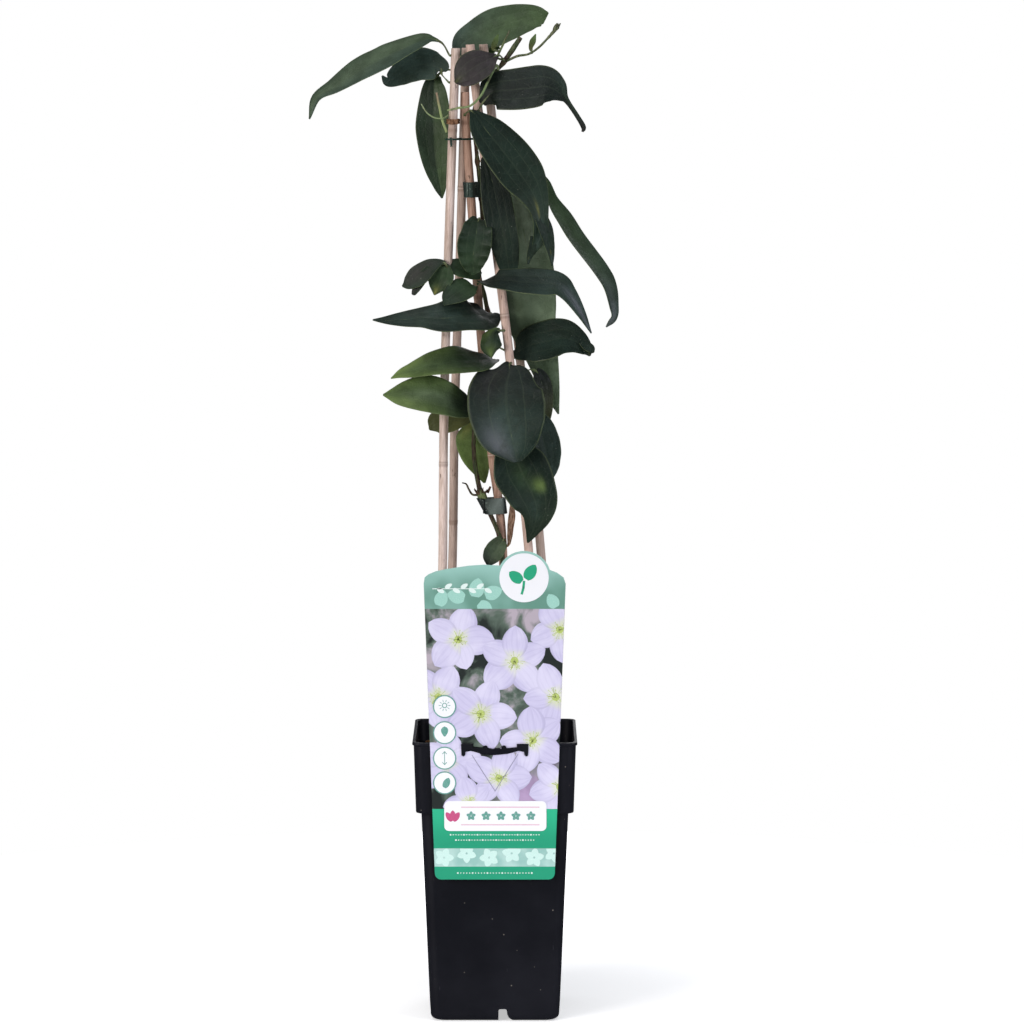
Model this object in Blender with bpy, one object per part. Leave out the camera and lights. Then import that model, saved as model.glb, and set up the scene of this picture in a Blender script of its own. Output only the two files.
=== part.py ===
"""Potted evergreen clematis tied to bamboo canes, with a hanging plant label.

Metres in the scene, millimetres in the tables below. The origin is the centre of the pot's
underside, +Z is up, the label's side faces -Y and +X is to the right as seen from there.
"""
import math

import bmesh
import bpy
from mathutils import Vector

MM = 0.001
GAP = 0.3

# Facets of the round and lofted parts
CORNER_STEPS = 4
CANE_SIDES = 10
STEM_SIDES = 7
SHOOT_SIDES = 6
HOLE_SIDES = 12
DRAIN_SIDES = 20
BELT_POINTS = 28
AXIS_STEPS = 3
LEAF_ACROSS = 4
LEAF_STEPS = 2

# Pot, a square tapered box with a deep collar
POT_HEIGHT = 203.0
BASE_HALF = 46.0
FOOT_RADIUS = 5.0
BODY_TOP_HALF = 52.3
COLLAR_BOTTOM = 151.7
COLLAR_BOTTOM_HALF = 56.1
COLLAR_TOP_HALF = 57.7
LIP_HALF = 58.5
LIP_HEIGHT = 2.6
WALL = 1.4
FLOOR_TOP = 11.5
CORNER_RADIUS = 7.0
CHANNEL_OFFSET = 5.5
CHANNEL_WIDTH = 6.0
CHANNEL_HEIGHT = 8.8
DRAIN_RADIUS = 4.0
DRAIN_OFFSET = 26.0

# Soil: a low mound, as rings drawn in from the wall and lifted above its edge
SOIL_EDGE = 185.0
SOIL_MOUND = ((0.86, 3.5), (0.66, 4.6), (0.42, 5.0), (0.2, 4.2))
SOIL_ROUGHNESS = 1.1

# Label, a flat die-cut card on a moulded lug of the collar
LABEL_THICKNESS = 0.45
LABEL_BACK = -58.8
LABEL_BOTTOM = 105.2
LABEL_BOTTOM_HALF = 42.6
LABEL_TOP = 319.6
LABEL_TOP_HALF = 50.2
LABEL_CROWN = 330.3
LABEL_CORNER = 4.5
TAB_CENTRE = (20.7, 321.0)
TAB_RADIUS = 19.05
SLOT_HALF = (
    (0.0, 194.2), (9.0, 195.0), (17.0, 197.2), (20.3, 196.6), (20.6, 194.3), (22.3, 193.1),
    (24.0, 194.3), (24.3, 203.0), (15.2, 203.0), (15.2, 200.6), (8.7, 200.0), (8.1, 201.4),
    (6.5, 202.1), (4.9, 201.4), (4.4, 199.6),
)
LUG_INSET = 0.5
LUG_FRONT = -60.2

# Bamboo canes: points along the axis from the soil to the top
CANE_RADIUS = 3.15
CANES = {
    "cane_front_left": ((-42, -41, 110), (-40, -38, 190), (-37.2, -29.5, 323), (-36.2, -22.6, 431),
                        (-32.8, -15, 552), (-27.6, -6, 692)),
    "cane_back_left": ((-38, 41, 110), (-36, 38, 190), (-30.8, 29.5, 323), (-29, 22.6, 431),
                       (-24.7, 14.7, 555), (-20.4, 6, 692)),
    "cane_front_right": ((43, -41, 110), (38, -38, 190), (24, -28.5, 338), (10.4, -19, 474),
                         (-3.6, -11.3, 585), (-17.5, -3, 694.5)),
    "cane_back_right": ((44, 40, 110), (42, 38, 190), (32.6, 29, 334.5), (19.5, 20.5, 455),
                        (6, 13.5, 575), (-8.2, 6, 694.5)),
    "cane_centre": ((10, 4, 70), (9, 3, 190), (5.4, 0, 337), (-2.5, -1, 406), (-9.7, -2, 485),
                    (-15.8, -3, 570), (-20.4, -4, 634), (-21.1, -4, 661)),
}

# Vine stems: points along the axis with the radius at each
MAIN_STEM = (
    (9, -14, 140, 1.9), (8, -11, 190, 1.8), (6.5, -9, 260, 1.6), (5.4, -8, 327, 1.6),
    (3.2, -6.7, 344, 1.6), (-3.2, -5.2, 359.8, 1.6), (-6.8, -4.5, 366.6, 1.7),
    (-10.4, -4, 375.6, 1.9), (-14.7, -2, 398.9, 1.5), (-14.7, 0, 420, 1.5), (-10, 2, 441, 1.5),
    (-5.4, 4, 462.6, 1.5), (-2.5, 5, 484.4, 1.5), (-6.8, 5, 513.3, 1.5), (-11.1, 4, 531.1, 1.5),
    (-9.7, 4, 552, 1.4), (-9, 3, 569.8, 1.4), (-10.4, 2, 591.8, 1.4), (-12.5, 0, 613, 1.4),
    (-14, -0.8, 627.2, 1.4), (-15.4, 0, 640.7, 1.4), (-12.5, 0.5, 655.5, 1.3),
    (-4, 0, 669.3, 1.3), (5.4, 0, 681, 1.4), (12, -1, 690.5, 1.9), (18.3, -2, 699.7, 1.6),
)

# Thin side growth: where it leaves (support, height, direction), then points with radii
SHOOTS = {
    "shoot_upright": dict(root=("main_stem", 684, 170), points=(
        (2.0, -5, 686, 0.8), (6, -6, 695, 0.8), (10.4, -6, 704.5, 0.5))),
    "bud_stalk": dict(root=("main_stem", 683, -50), points=(
        (16, -3.5, 686.5, 0.9), (24, -4, 688, 0.8), (31, -4, 692.5, 0.8), (37.6, -4, 699.2, 0.9),
        (41, -4, 703, 2.0), (45, -4, 707.2, 1.9), (48, -4, 709.5, 0.4))),
    "vine_thin": dict(root=("main_stem", 586, -30), points=(
        (-6.5, -1, 583, 0.6), (-3.2, -2.5, 562.6, 0.6), (0.5, -3, 546, 0.6),
        (3.2, -2.5, 533.2, 0.5))),
    "tendril_right": dict(root=("main_stem", 677, -80), points=(
        (1, -14, 680, 0.9), (-4, -21, 670.5, 0.9), (-9.5, -25, 659.5, 0.8),
        (-17, -21, 652, 0.8), (-26, -17, 650.2, 0.8), (-33.5, -14, 648.5, 0.6))),
    "stub_left": dict(root=("cane_front_left", 633, 180), points=(
        (-37, -12, 641, 0.8), (-39, -13, 650, 0.8), (-41.2, -13.5, 661, 0.6))),
    "tendril_left": dict(root=("cane_front_left", 645, 200), points=(
        (-36.5, -15.5, 643, 0.5), (-42.6, -16.5, 643.4, 0.5), (-48, -16, 647, 0.5),
        (-52, -15, 653, 0.4))),
    "tendril_dried": dict(root=("main_stem", 374, -160), points=(
        (-16, -6.5, 374.5, 0.7), (-18.5, -7, 378, 0.7), (-21.5, -7, 381.5, 0.5))),
}

# Leaves: where the stalk leaves its support, points of the stalk, then blade stations
# (x, y, z, half width), the way the upper face looks, and how far the halves fold up.
STALK_RADIUS = 0.9
BLADE_THICKNESS = 0.8
LEAVES = {
    "leaf_01": dict(root=("cane_front_left", 687, 180), stalk=((-37, -8, 695.5),), blade=(
        (-44, -9, 698.5, 3), (-50.5, -10, 698, 7.5), (-68.4, -13, 690.5, 11.5),
        (-80.5, -16, 684.3, 12.5), (-94.9, -19, 676.6, 12), (-112, -22, 665.6, 8.5),
        (-125.7, -24, 657.4, 4.5), (-130.7, -25, 642.6, 0.6)), face=(-0.2, -0.6, 0.75), fold=0.1),
    "leaf_02": dict(root=("cane_front_left", 668, 170), stalk=((-37.5, -3, 673.5),), blade=(
        (-43, 0, 677, 7), (-52, 3, 680, 11), (-61, 4, 677, 11), (-69, 4, 672.3, 8),
        (-76, 2, 668.4, 4), (-80, -1, 672.5, 0.6)), face=(0, -0.95, 0.3), fold=0.1),
    "leaf_03": dict(root=("cane_back_left", 673, 150), stalk=((-31, 8, 676.5), (-38, 8, 675)), blade=(
        (-42.6, 6, 669, 6), (-43.3, 5, 658.5, 10), (-43.3, 4, 636, 13), (-41.9, 4, 612.3, 10),
        (-39, 4, 594.5, 5), (-37.6, 4, 585.5, 0.6)), face=(-0.2, -1, 0.1), fold=0.1),
    "leaf_04": dict(root=("cane_back_left", 680, 90), stalk=((-24, 13, 683),), blade=(
        (-26, 15, 689, 4), (-22, 17.5, 696, 9), (-12, 19, 701, 13), (-0.4, 19, 705.5, 15.5),
        (14, 18, 710.5, 13.5), (26.9, 17, 715.3, 8), (36.2, 16, 711.8, 0.6)),
        face=(0, -0.85, 0.5), fold=0.08),
    "leaf_05": dict(root=("main_stem", 683, -90), stalk=((3.5, -9, 687),), blade=(
        (-1, -15, 686, 4), (-5, -17.5, 684, 8.5), (-11, -20, 681, 12), (-18, -20.5, 676.5, 12),
        (-24, -19, 671.5, 8), (-28, -17, 668, 0.8)), face=(0, -0.9, 0.45), fold=0.1),
    "leaf_06": dict(root=("cane_front_right", 648, -90), stalk=((-10.5, -12, 650.5),), blade=(
        (-6, -13.5, 657, 6.5), (-0.4, -16, 661.5, 14), (11.8, -19, 663, 16), (26.1, -21, 664.5, 16),
        (39, -22, 665, 12), (47.6, -22, 658.5, 5), (55.5, -22, 649.2, 2), (61.9, -21, 635.6, 0.5)),
        face=(0, -0.9, 0.45), fold=0.1),
    "leaf_07": dict(root=("cane_centre", 645, -100), stalk=((-18, -11, 648),), blade=(
        (-15.4, -14, 647, 3), (-7.5, -18, 636.5, 12), (5.4, -20, 620.5, 17), (19, -24, 602.6, 17),
        (27.6, -26, 589.3, 11.5), (31.9, -27, 575, 6.5), (31.9, -26, 560.3, 5), (25.4, -25, 544.7, 0.6)),
        face=(0.3, -0.9, 0.35), fold=0.12),
    "leaf_08": dict(root=("cane_centre", 570, -50), stalk=((-11, -10, 572),), blade=(
        (-12, -17.5, 569.4, 4), (-13.2, -23.5, 560.4, 10), (-14.7, -24.5, 550.8, 11.5),
        (-15.4, -25, 542.4, 8), (-15.4, -24.5, 532, 0.6)), face=(0, -1, 0.2), fold=0.15),
    "leaf_09": dict(root=("cane_front_right", 617, -90), stalk=(), blade=(
        (-6.1, -15, 613.4, 4), (-0.3, -18.8, 592.6, 10), (4, -20.5, 571, 11), (8, -21, 550, 9.5),
        (10.4, -19, 534, 5.7), (11.8, -17, 525, 0.6)), face=(0, -1, 0.1), fold=0.04),
    "leaf_10": dict(root=("main_stem", 608, 45), stalk=((-7, 4, 608),), blade=(
        (3.2, 6, 602, 5), (14, 6.8, 584.2, 12), (20.4, 7, 562.8, 17), (23.3, 7.5, 537.8, 18.5),
        (24.7, 8, 512.9, 19), (26.9, 8.5, 494.9, 17), (33.3, 8.5, 473.4, 12), (39, 8, 452, 7.5),
        (45.5, 7, 431, 0.6)), face=(0, -1, 0), fold=0.03),
    "leaf_11": dict(root=("main_stem", 612, 10), stalk=((5, -1, 614), (22, -6, 608.5)), blade=(
        (36, -10, 600.4, 2), (40.5, -11, 584.5, 8), (49, -12, 571.2, 12), (59, -13, 555.5, 13),
        (74.1, -15, 534.8, 12), (80.6, -16, 524, 10), (84.1, -16, 510, 7), (84.5, -16, 502, 4),
        (79.1, -15, 495, 0.6)), face=(0.75, -0.45, 0.5), fold=0.12),
    "leaf_12": dict(root=("cane_centre", 525, -80), stalk=((-10.5, -14, 527),), blade=(
        (-9, -20, 528, 4), (-3, -27, 529, 9), (3.2, -30, 529.5, 11), (10, -31, 529, 12),
        (19, -31, 528, 13.5), (33.3, -31, 527, 14), (44.8, -31, 525.8, 12), (52, -31, 519.5, 8.5),
        (60.5, -30, 506.5, 5), (68.4, -28, 491.5, 0.6)), face=(0.25, -0.6, 0.75), fold=0.1),
    "leaf_13": dict(root=("main_stem", 481, 30), stalk=((6, 4, 477.5),), blade=(
        (12, 0, 475.5, 2), (16.1, -3, 476.3, 7), (25.4, -5, 481.4, 15), (37.6, -7, 484.4, 17),
        (49, -9, 486.6, 15), (58.4, -10, 483.9, 10), (65.5, -11, 478.2, 5), (67.7, -11, 474, 0.6)),
        face=(0, -0.8, 0.6), fold=0.1),
    "leaf_14": dict(root=("cane_front_left", 531, -60), stalk=((-34, -22, 539),), blade=(
        (-37.6, -22, 541.5, 2.2), (-45.5, -23, 538.5, 6), (-54, -24, 532, 8),
        (-61.2, -25, 526.5, 5), (-65.5, -25, 524.5, 0.6)), face=(0, -0.85, 0.5), fold=0.1),
    "leaf_15": dict(root=("cane_front_left", 536, 200), stalk=(), blade=(
        (-38, -19.5, 535.5, 2), (-39.5, -20.5, 530.8, 4.5), (-41.9, -21.5, 524.4, 4),
        (-42.6, -22, 518.4, 0.5)), face=(0, -1, 0.3), fold=0.15),
    "leaf_16": dict(root=("cane_centre", 519, -120), stalk=((-14.5, -12, 523),), blade=(
        (-15.5, -20, 525, 4), (-19.7, -24, 523.5, 9), (-26.9, -28, 520.2, 9.5), (-32.6, -31, 516, 6),
        (-36, -32, 511.8, 0.6)), face=(0, -0.8, 0.6), fold=0.12),
    "leaf_17": dict(root=("main_stem", 503, -70), stalk=((-3, -2, 504),), blade=(
        (-3.5, -8, 504, 9), (-8, -14.5, 503.5, 14.5), (-13, -21, 503.8, 16.5), (-22, -28, 503.8, 15.5),
        (-36.2, -34, 502.7, 14), (-50.5, -34, 503, 9.5), (-64.8, -33, 501.5, 6.5),
        (-75.5, -32, 501, 4), (-86.3, -30, 501.2, 0.6)), face=(0, -0.75, 0.66), fold=0.1),
    "leaf_18": dict(root=("main_stem", 470, -70), stalk=((-1, -4, 470.5),), blade=(
        (-0.5, -10, 471.5, 4), (-5.5, -18, 472.5, 8.5), (-13, -26, 472.3, 14), (-23, -33, 472.5, 15),
        (-34.7, -37, 471.3, 14), (-46.9, -37, 469.2, 12), (-59, -36, 465.5, 8), (-67, -35, 463.2, 4.5),
        (-73.4, -33, 460, 0.6)), face=(0, -0.6, 0.8), fold=0.1),
    "leaf_19": dict(root=("cane_front_right", 493, -120), stalk=(), blade=(
        (0.5, -23.5, 491.5, 2.5), (-0.5, -25.5, 486, 4.5), (-1, -27, 480.5, 4), (-1, -27.5, 476, 1)),
        face=(0.2, -1, 0.2), fold=0.3),
    "leaf_20": dict(root=("cane_front_right", 470, -80), stalk=(), blade=(
        (10.3, -28.5, 469, 5), (10.3, -32.5, 464.2, 16), (8.3, -36.5, 455.2, 25), (8, -40, 444.7, 27.5),
        (9, -43, 434.8, 27), (11.1, -46, 423.2, 24), (14, -48, 412, 17), (16.1, -48, 402, 3)),
        face=(0, -1, 0.2), fold=0.08),
    "leaf_21": dict(root=("main_stem", 434, -100), stalk=((-15, -12, 437),), blade=(
        (-17, -22, 438.5, 2), (-24, -30, 441.5, 7), (-34, -34, 445, 11.5), (-46.2, -35, 448.3, 14.5),
        (-57.6, -35, 449, 12.5), (-68.4, -34, 448.2, 8), (-79.1, -33, 448.2, 0.6)),
        face=(0, -0.85, 0.5), fold=0.1),
    "leaf_22": dict(root=("main_stem", 428, 170), stalk=(), blade=(
        (-18, 3, 428.5, 4), (-29, 4, 427.3, 8.5), (-41.2, 4, 424.4, 9.5), (-47, 4, 420, 0.6)),
        face=(0, -0.9, 0.45), fold=0.1),
    "leaf_23": dict(root=("main_stem", 422, 60), stalk=(), blade=(
        (-11, 5.5, 421, 5), (-14, 7, 409, 10), (-16.8, 7, 396.6, 9.5), (-19.7, 7, 382, 0.6)),
        face=(0, -1, 0.1), fold=0.1),
    "leaf_24": dict(root=("cane_front_right", 411, -80), stalk=(), blade=(
        (13, -30.5, 409, 12), (17.5, -34, 397, 20), (24.2, -36, 383, 19), (29, -36, 371.5, 16),
        (29.7, -36, 362.2, 11), (26.9, -35, 352.2, 5.5), (23.3, -33, 342.8, 0.6)),
        face=(0.1, -1, 0.2), fold=0.1),
    "leaf_25": dict(root=("cane_front_right", 461, 10), stalk=((20, -14, 463), (27, -12, 464.5)), blade=(
        (31, -11, 461, 5), (34, -11, 452, 7.5), (34, -12, 440, 8), (33, -12, 428, 6.5),
        (33.5, -12, 419, 3), (34.5, -12, 413, 0.6)), face=(0.4, -0.9, 0.1), fold=0.1),
    "leaf_26": dict(root=("main_stem", 342, -60), stalk=((7, -13, 343),), blade=(
        (4.5, -15, 341, 5), (0.5, -17, 335.5, 7), (-3, -18, 330, 6), (-4.7, -18, 324, 0.6)),
        face=(0.2, -0.8, 0.6), fold=0.5),
    "leaf_27": dict(root=("cane_front_right", 440, 10), stalk=((21, -21, 438),), blade=(
        (25, -20, 434, 5), (31, -19, 425, 10), (35, -19, 413, 11.5), (37, -19, 402, 10),
        (37.6, -19, 392, 7), (37.6, -18, 383, 0.6)), face=(0.2, -0.95, 0.1), fold=0.08),
    "bract_left": dict(root=("shoot_upright", 690, 180), stalk=(), blade=(
        (-1, -6.5, 692, 1.4), (0.5, -7.5, 697, 2), (2.5, -8, 702, 0.4)), face=(0, -1, 0.2), fold=0.2),
    "bract_right": dict(root=("bud_stalk", 689, 80), stalk=(), blade=(
        (25.5, -1, 692.5, 1.5), (27, 0, 697, 2.2), (29, 1, 702, 0.4)), face=(0, -1, 0.2), fold=0.2),
    "sheath_dry": dict(root=("cane_centre", 337, -20), stalk=(), blade=(
        (10.2, -2.5, 340, 1.5), (10.8, -3.2, 348, 2.4), (12, -3.8, 360, 2.6), (12.2, -3.6, 372, 0.6)),
        face=(0.4, -0.9, 0), fold=0.2),
}

# Ties: a belt round two neighbours, its middle height, its own height and thickness
BELTS = {
    "tie_wire": dict(around=("cane_front_left", "cane_centre"), z=628, height=1.3, thick=1.3, slack=0.7),
    "tie_upper": dict(around=("cane_centre", "main_stem"), z=592, height=10.8, thick=0.9, slack=0.9),
    "tie_lower": dict(around=("cane_centre", "main_stem"), z=366, height=11.5, thick=1.0, slack=1.2),
    "tie_band": dict(around=("cane_front_left", "cane_front_left"), z=640.5, height=3.0, thick=0.8,
                     slack=0.6),
}

MATERIALS = {
    "pot": ((0.012, 0.012, 0.016), 0.4),
    "soil": ((0.035, 0.022, 0.014), 0.95),
    "label": ((0.62, 0.66, 0.74), 0.3),
    "cane": ((0.50, 0.38, 0.28), 0.6),
    "cane_brown": ((0.36, 0.21, 0.12), 0.65),
    "stem": ((0.12, 0.06, 0.03), 0.7),
    "green_stem": ((0.16, 0.24, 0.06), 0.5),
    "leaf": ((0.035, 0.07, 0.03), 0.4),
    "tie": ((0.02, 0.05, 0.03), 0.45),
    "dry": ((0.22, 0.12, 0.07), 0.85),
}


def clear_scene():
    for obj in list(bpy.data.objects):
        bpy.data.objects.remove(obj, do_unlink=True)


def material(key, name):
    colour, roughness = MATERIALS[key]
    made = bpy.data.materials.new(name + "_material")
    made.use_nodes = True
    shader = made.node_tree.nodes["Principled BSDF"]
    shader.inputs["Base Color"].default_value = (*colour, 1.0)
    shader.inputs["Roughness"].default_value = roughness
    shader.inputs["Metallic"].default_value = 0.0
    return made


def finish(name, bm, key, smooth=True):
    """Turns a bmesh in millimetres into a named object in metres."""
    bmesh.ops.scale(bm, vec=(MM, MM, MM), verts=bm.verts)
    bmesh.ops.recalc_face_normals(bm, faces=bm.faces)
    mesh = bpy.data.meshes.new(name)
    bm.to_mesh(mesh)
    bm.free()
    for polygon in mesh.polygons:
        polygon.use_smooth = smooth
    obj = bpy.data.objects.new(name, mesh)
    bpy.context.scene.collection.objects.link(obj)
    if key:
        mesh.materials.append(material(key, name))
    else:
        obj.hide_render = True
        obj.display_type = "WIRE"
    return obj


def spline(points, steps):
    """Catmull-Rom through points of any dimension, steps samples to each span."""
    rows = [tuple(float(v) for v in p) for p in points]
    rows = [tuple(2 * a - b for a, b in zip(rows[0], rows[1]))] + rows
    rows.append(tuple(2 * a - b for a, b in zip(rows[-1], rows[-2])))
    out = []
    for i in range(1, len(rows) - 2):
        p0, p1, p2, p3 = rows[i - 1:i + 3]
        last = i == len(rows) - 3
        for k in range(steps + last):
            t = k / steps
            out.append(tuple(
                0.5 * (2 * b + (c - a) * t + (2 * a - 5 * b + 4 * c - d) * t * t
                       + (3 * b - a - 3 * c + d) * t ** 3)
                for a, b, c, d in zip(p0, p1, p2, p3)))
    return out


def loft(rings):
    """A closed body through rings of equal count, a fan over each end."""
    bm = bmesh.new()
    made = [[bm.verts.new(p) for p in ring] for ring in rings]
    count = len(made[0])
    for low, high in zip(made, made[1:]):
        for i in range(count):
            j = (i + 1) % count
            bm.faces.new((low[i], low[j], high[j], high[i]))
    for ring in (made[0], made[-1]):
        middle = bm.verts.new(sum((v.co for v in ring), Vector()) / count)
        for i in range(count):
            bm.faces.new((ring[i], ring[(i + 1) % count], middle))
    return bm


def tangents(centres):
    found = []
    for i in range(len(centres)):
        ahead = centres[min(i + 1, len(centres) - 1)]
        behind = centres[max(i - 1, 0)]
        found.append((ahead - behind).normalized())
    return found


def tube_rings(centres, radii, sides):
    along = tangents(centres)
    across = along[0].orthogonal().normalized()
    rings = []
    for centre, tangent, radius in zip(centres, along, radii):
        across = (across - tangent * across.dot(tangent)).normalized()
        other = tangent.cross(across)
        rings.append([
            centre + radius * (math.cos(a) * across + math.sin(a) * other)
            for a in (2 * math.pi * k / sides for k in range(sides))])
    return rings


def axis_of(name):
    """Sampled (x, y, z, radius) along any support that a stalk or a tie can sit on."""
    if name in CANES:
        return spline([(*p, CANE_RADIUS) for p in CANES[name]], AXIS_STEPS)
    if name == "main_stem":
        return spline(MAIN_STEM, AXIS_STEPS)
    shoot = SHOOTS[name]
    first = shoot["points"][0]
    return spline([seat(shoot["root"], first[3], first), *shoot["points"]], AXIS_STEPS)


def support_at(name, height):
    rows = axis_of(name)
    for low, high in zip(rows, rows[1:]):
        if min(low[2], high[2]) <= height <= max(low[2], high[2]):
            share = (height - low[2]) / (high[2] - low[2] or 1.0)
            return tuple(a + (b - a) * share for a, b in zip(low, high))
    return min(rows, key=lambda row: abs(row[2] - height))


def seat(root, radius, toward):
    """The centre of a stalk's end that stands GAP off its support: (x, y, z, radius)."""
    name, height, degrees = root
    x, y, z, thick = support_at(name, height)
    turn = math.radians(degrees)
    outward = Vector((math.cos(turn), math.sin(turn), 0))
    leaving = (Vector(toward[:3]) - Vector((x, y, z)) - outward * (thick + radius)).normalized()
    edge_on = math.sqrt(max(0.0, 1 - leaving.dot(outward) ** 2))
    spot = Vector((x, y, z)) + outward * (thick + GAP + radius * edge_on)
    return (*spot, radius)


def rounded_square(half, z):
    """A square outline with round corners, as one ring of points."""
    radius, steps = CORNER_RADIUS, CORNER_STEPS
    ring = []
    for corner in range(4):
        for k in range(steps + 1):
            a = math.radians(90 * (corner + k / steps))
            sx, sy = ((1, 1), (-1, 1), (-1, -1), (1, -1))[corner]
            ring.append(Vector((
                sx * (half - radius) + radius * math.cos(a),
                sy * (half - radius) + radius * math.sin(a), z)))
    return ring


def prism(outline, y_front, y_back):
    """A plate with a closed outline of (x, z), between two depths."""
    bm = bmesh.new()
    face = bm.faces.new([bm.verts.new((x, y_front, z)) for x, z in outline])
    made = bmesh.ops.extrude_face_region(bm, geom=[face])["geom"]
    moved = [v for v in made if isinstance(v, bmesh.types.BMVert)]
    bmesh.ops.translate(bm, vec=(0, y_back - y_front, 0), verts=moved)
    return bm


def mirrored(half):
    """A closed outline from its right half, the first point on the axis."""
    first, *rest = half
    return [first, *rest, *((-x, z) for x, z in reversed(rest))]


def boolean(obj, cutter, operation):
    made = obj.modifiers.new(cutter.name, "BOOLEAN")
    made.operation = operation
    made.solver = "EXACT"
    made.object = cutter


def box_cutter(name, low, high):
    bm = bmesh.new()
    bmesh.ops.create_cube(bm, size=1.0)
    size = [b - a for a, b in zip(low, high)]
    bmesh.ops.scale(bm, vec=size, verts=bm.verts)
    bmesh.ops.translate(bm, vec=[(a + b) / 2 for a, b in zip(low, high)], verts=bm.verts)
    return finish(name, bm, None)


def inner_half(z):
    """Half the width of the hollow at a height."""
    if z >= COLLAR_BOTTOM + WALL:
        share = (z - COLLAR_BOTTOM) / (POT_HEIGHT - COLLAR_BOTTOM)
        return COLLAR_BOTTOM_HALF + share * (COLLAR_TOP_HALF - COLLAR_BOTTOM_HALF) - WALL
    return BASE_HALF + z / COLLAR_BOTTOM * (BODY_TOP_HALF - BASE_HALF) - WALL


def make_pot():
    step = COLLAR_BOTTOM + WALL
    lip = POT_HEIGHT - LIP_HEIGHT
    profile = [
        (BASE_HALF - FOOT_RADIUS, 0), (BASE_HALF - 0.3 * FOOT_RADIUS, 0.3 * FOOT_RADIUS),
        (BASE_HALF + 0.2, FOOT_RADIUS), (BODY_TOP_HALF, COLLAR_BOTTOM),
        (COLLAR_BOTTOM_HALF - 0.8, COLLAR_BOTTOM), (COLLAR_BOTTOM_HALF, COLLAR_BOTTOM + 0.8),
        (COLLAR_TOP_HALF, lip), (LIP_HALF, lip + 0.5), (LIP_HALF, POT_HEIGHT - 0.5),
        (LIP_HALF - 0.5, POT_HEIGHT), (inner_half(POT_HEIGHT), POT_HEIGHT),
        (inner_half(step), step), (inner_half(step - 0.01), step - 0.01),
        (inner_half(FLOOR_TOP), FLOOR_TOP)]
    pot = finish("pot", loft([rounded_square(h, z) for h, z in profile]), "pot", smooth=False)
    low, high = CHANNEL_OFFSET - CHANNEL_WIDTH / 2, CHANNEL_OFFSET + CHANNEL_WIDTH / 2
    reach = LIP_HALF + 5
    along_y = box_cutter("channel_y", (low, -reach, -5), (high, reach, CHANNEL_HEIGHT))
    along_x = box_cutter("channel_x", (-reach, low, -5), (reach, high, CHANNEL_HEIGHT))
    boolean(pot, along_y, "DIFFERENCE")
    boolean(pot, along_x, "DIFFERENCE")
    for sx in (-1, 1):
        for sy in (-1, 1):
            centres = [Vector((sx * DRAIN_OFFSET, sy * DRAIN_OFFSET, z)) for z in (-5, FLOOR_TOP + 5)]
            bm = loft(tube_rings(centres, [DRAIN_RADIUS] * 2, DRAIN_SIDES))
            boolean(pot, finish(f"drain_{sx}_{sy}", bm, None), "DIFFERENCE")
    lug = prism(mirrored(SLOT_HALF), LUG_FRONT, LUG_FRONT + 0.1)
    front = min(lug.faces, key=lambda f: f.calc_center_median().y)
    bmesh.ops.inset_region(lug, faces=[front], thickness=LUG_INSET)
    outline = [(v.co.x, v.co.z) for v in front.verts]
    lug.free()
    lug = finish("lug", prism(outline, LUG_FRONT, -COLLAR_TOP_HALF + 0.8), None)
    boolean(pot, lug, "UNION")
    return pot


def mound_point(rim, share, lift):
    """A point of the soil's surface, drawn in from the rim and rippled."""
    angle = math.atan2(rim.y, rim.x)
    ripple = SOIL_ROUGHNESS * math.sin(5 * angle + 9 * share) * math.cos(3 * angle - 14 * share)
    return Vector((share * rim.x, share * rim.y, SOIL_EDGE + lift + ripple))


def make_soil():
    """Fills the pot up to a rippled mound, with a hole for each cane and the stem."""
    step = COLLAR_BOTTOM + WALL
    fit = GAP + 0.05
    profile = [
        (inner_half(FLOOR_TOP + GAP), FLOOR_TOP + GAP), (inner_half(step - 0.1), step - 0.1),
        (inner_half(step - 0.1), step + GAP), (inner_half(step), step + GAP + 0.1),
        (inner_half(SOIL_EDGE), SOIL_EDGE)]
    rings = [rounded_square(half - fit, z) for half, z in profile]
    rim = rings[-1]
    rings += [[mound_point(p, share, lift) for p in rim] for share, lift in SOIL_MOUND]
    soil = finish("soil", loft(rings), "soil")
    for name in (*CANES, "main_stem"):
        rows = [row for row in axis_of(name) if row[2] < 260]
        centres = [Vector(row[:3]) for row in rows]
        centres[0] -= GAP * tangents(centres)[0]
        radii = [row[3] + GAP for row in rows]
        cutter = loft(tube_rings(centres, radii, HOLE_SIDES))
        boolean(soil, finish("hole_" + name, cutter, None), "DIFFERENCE")
    return soil


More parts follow.
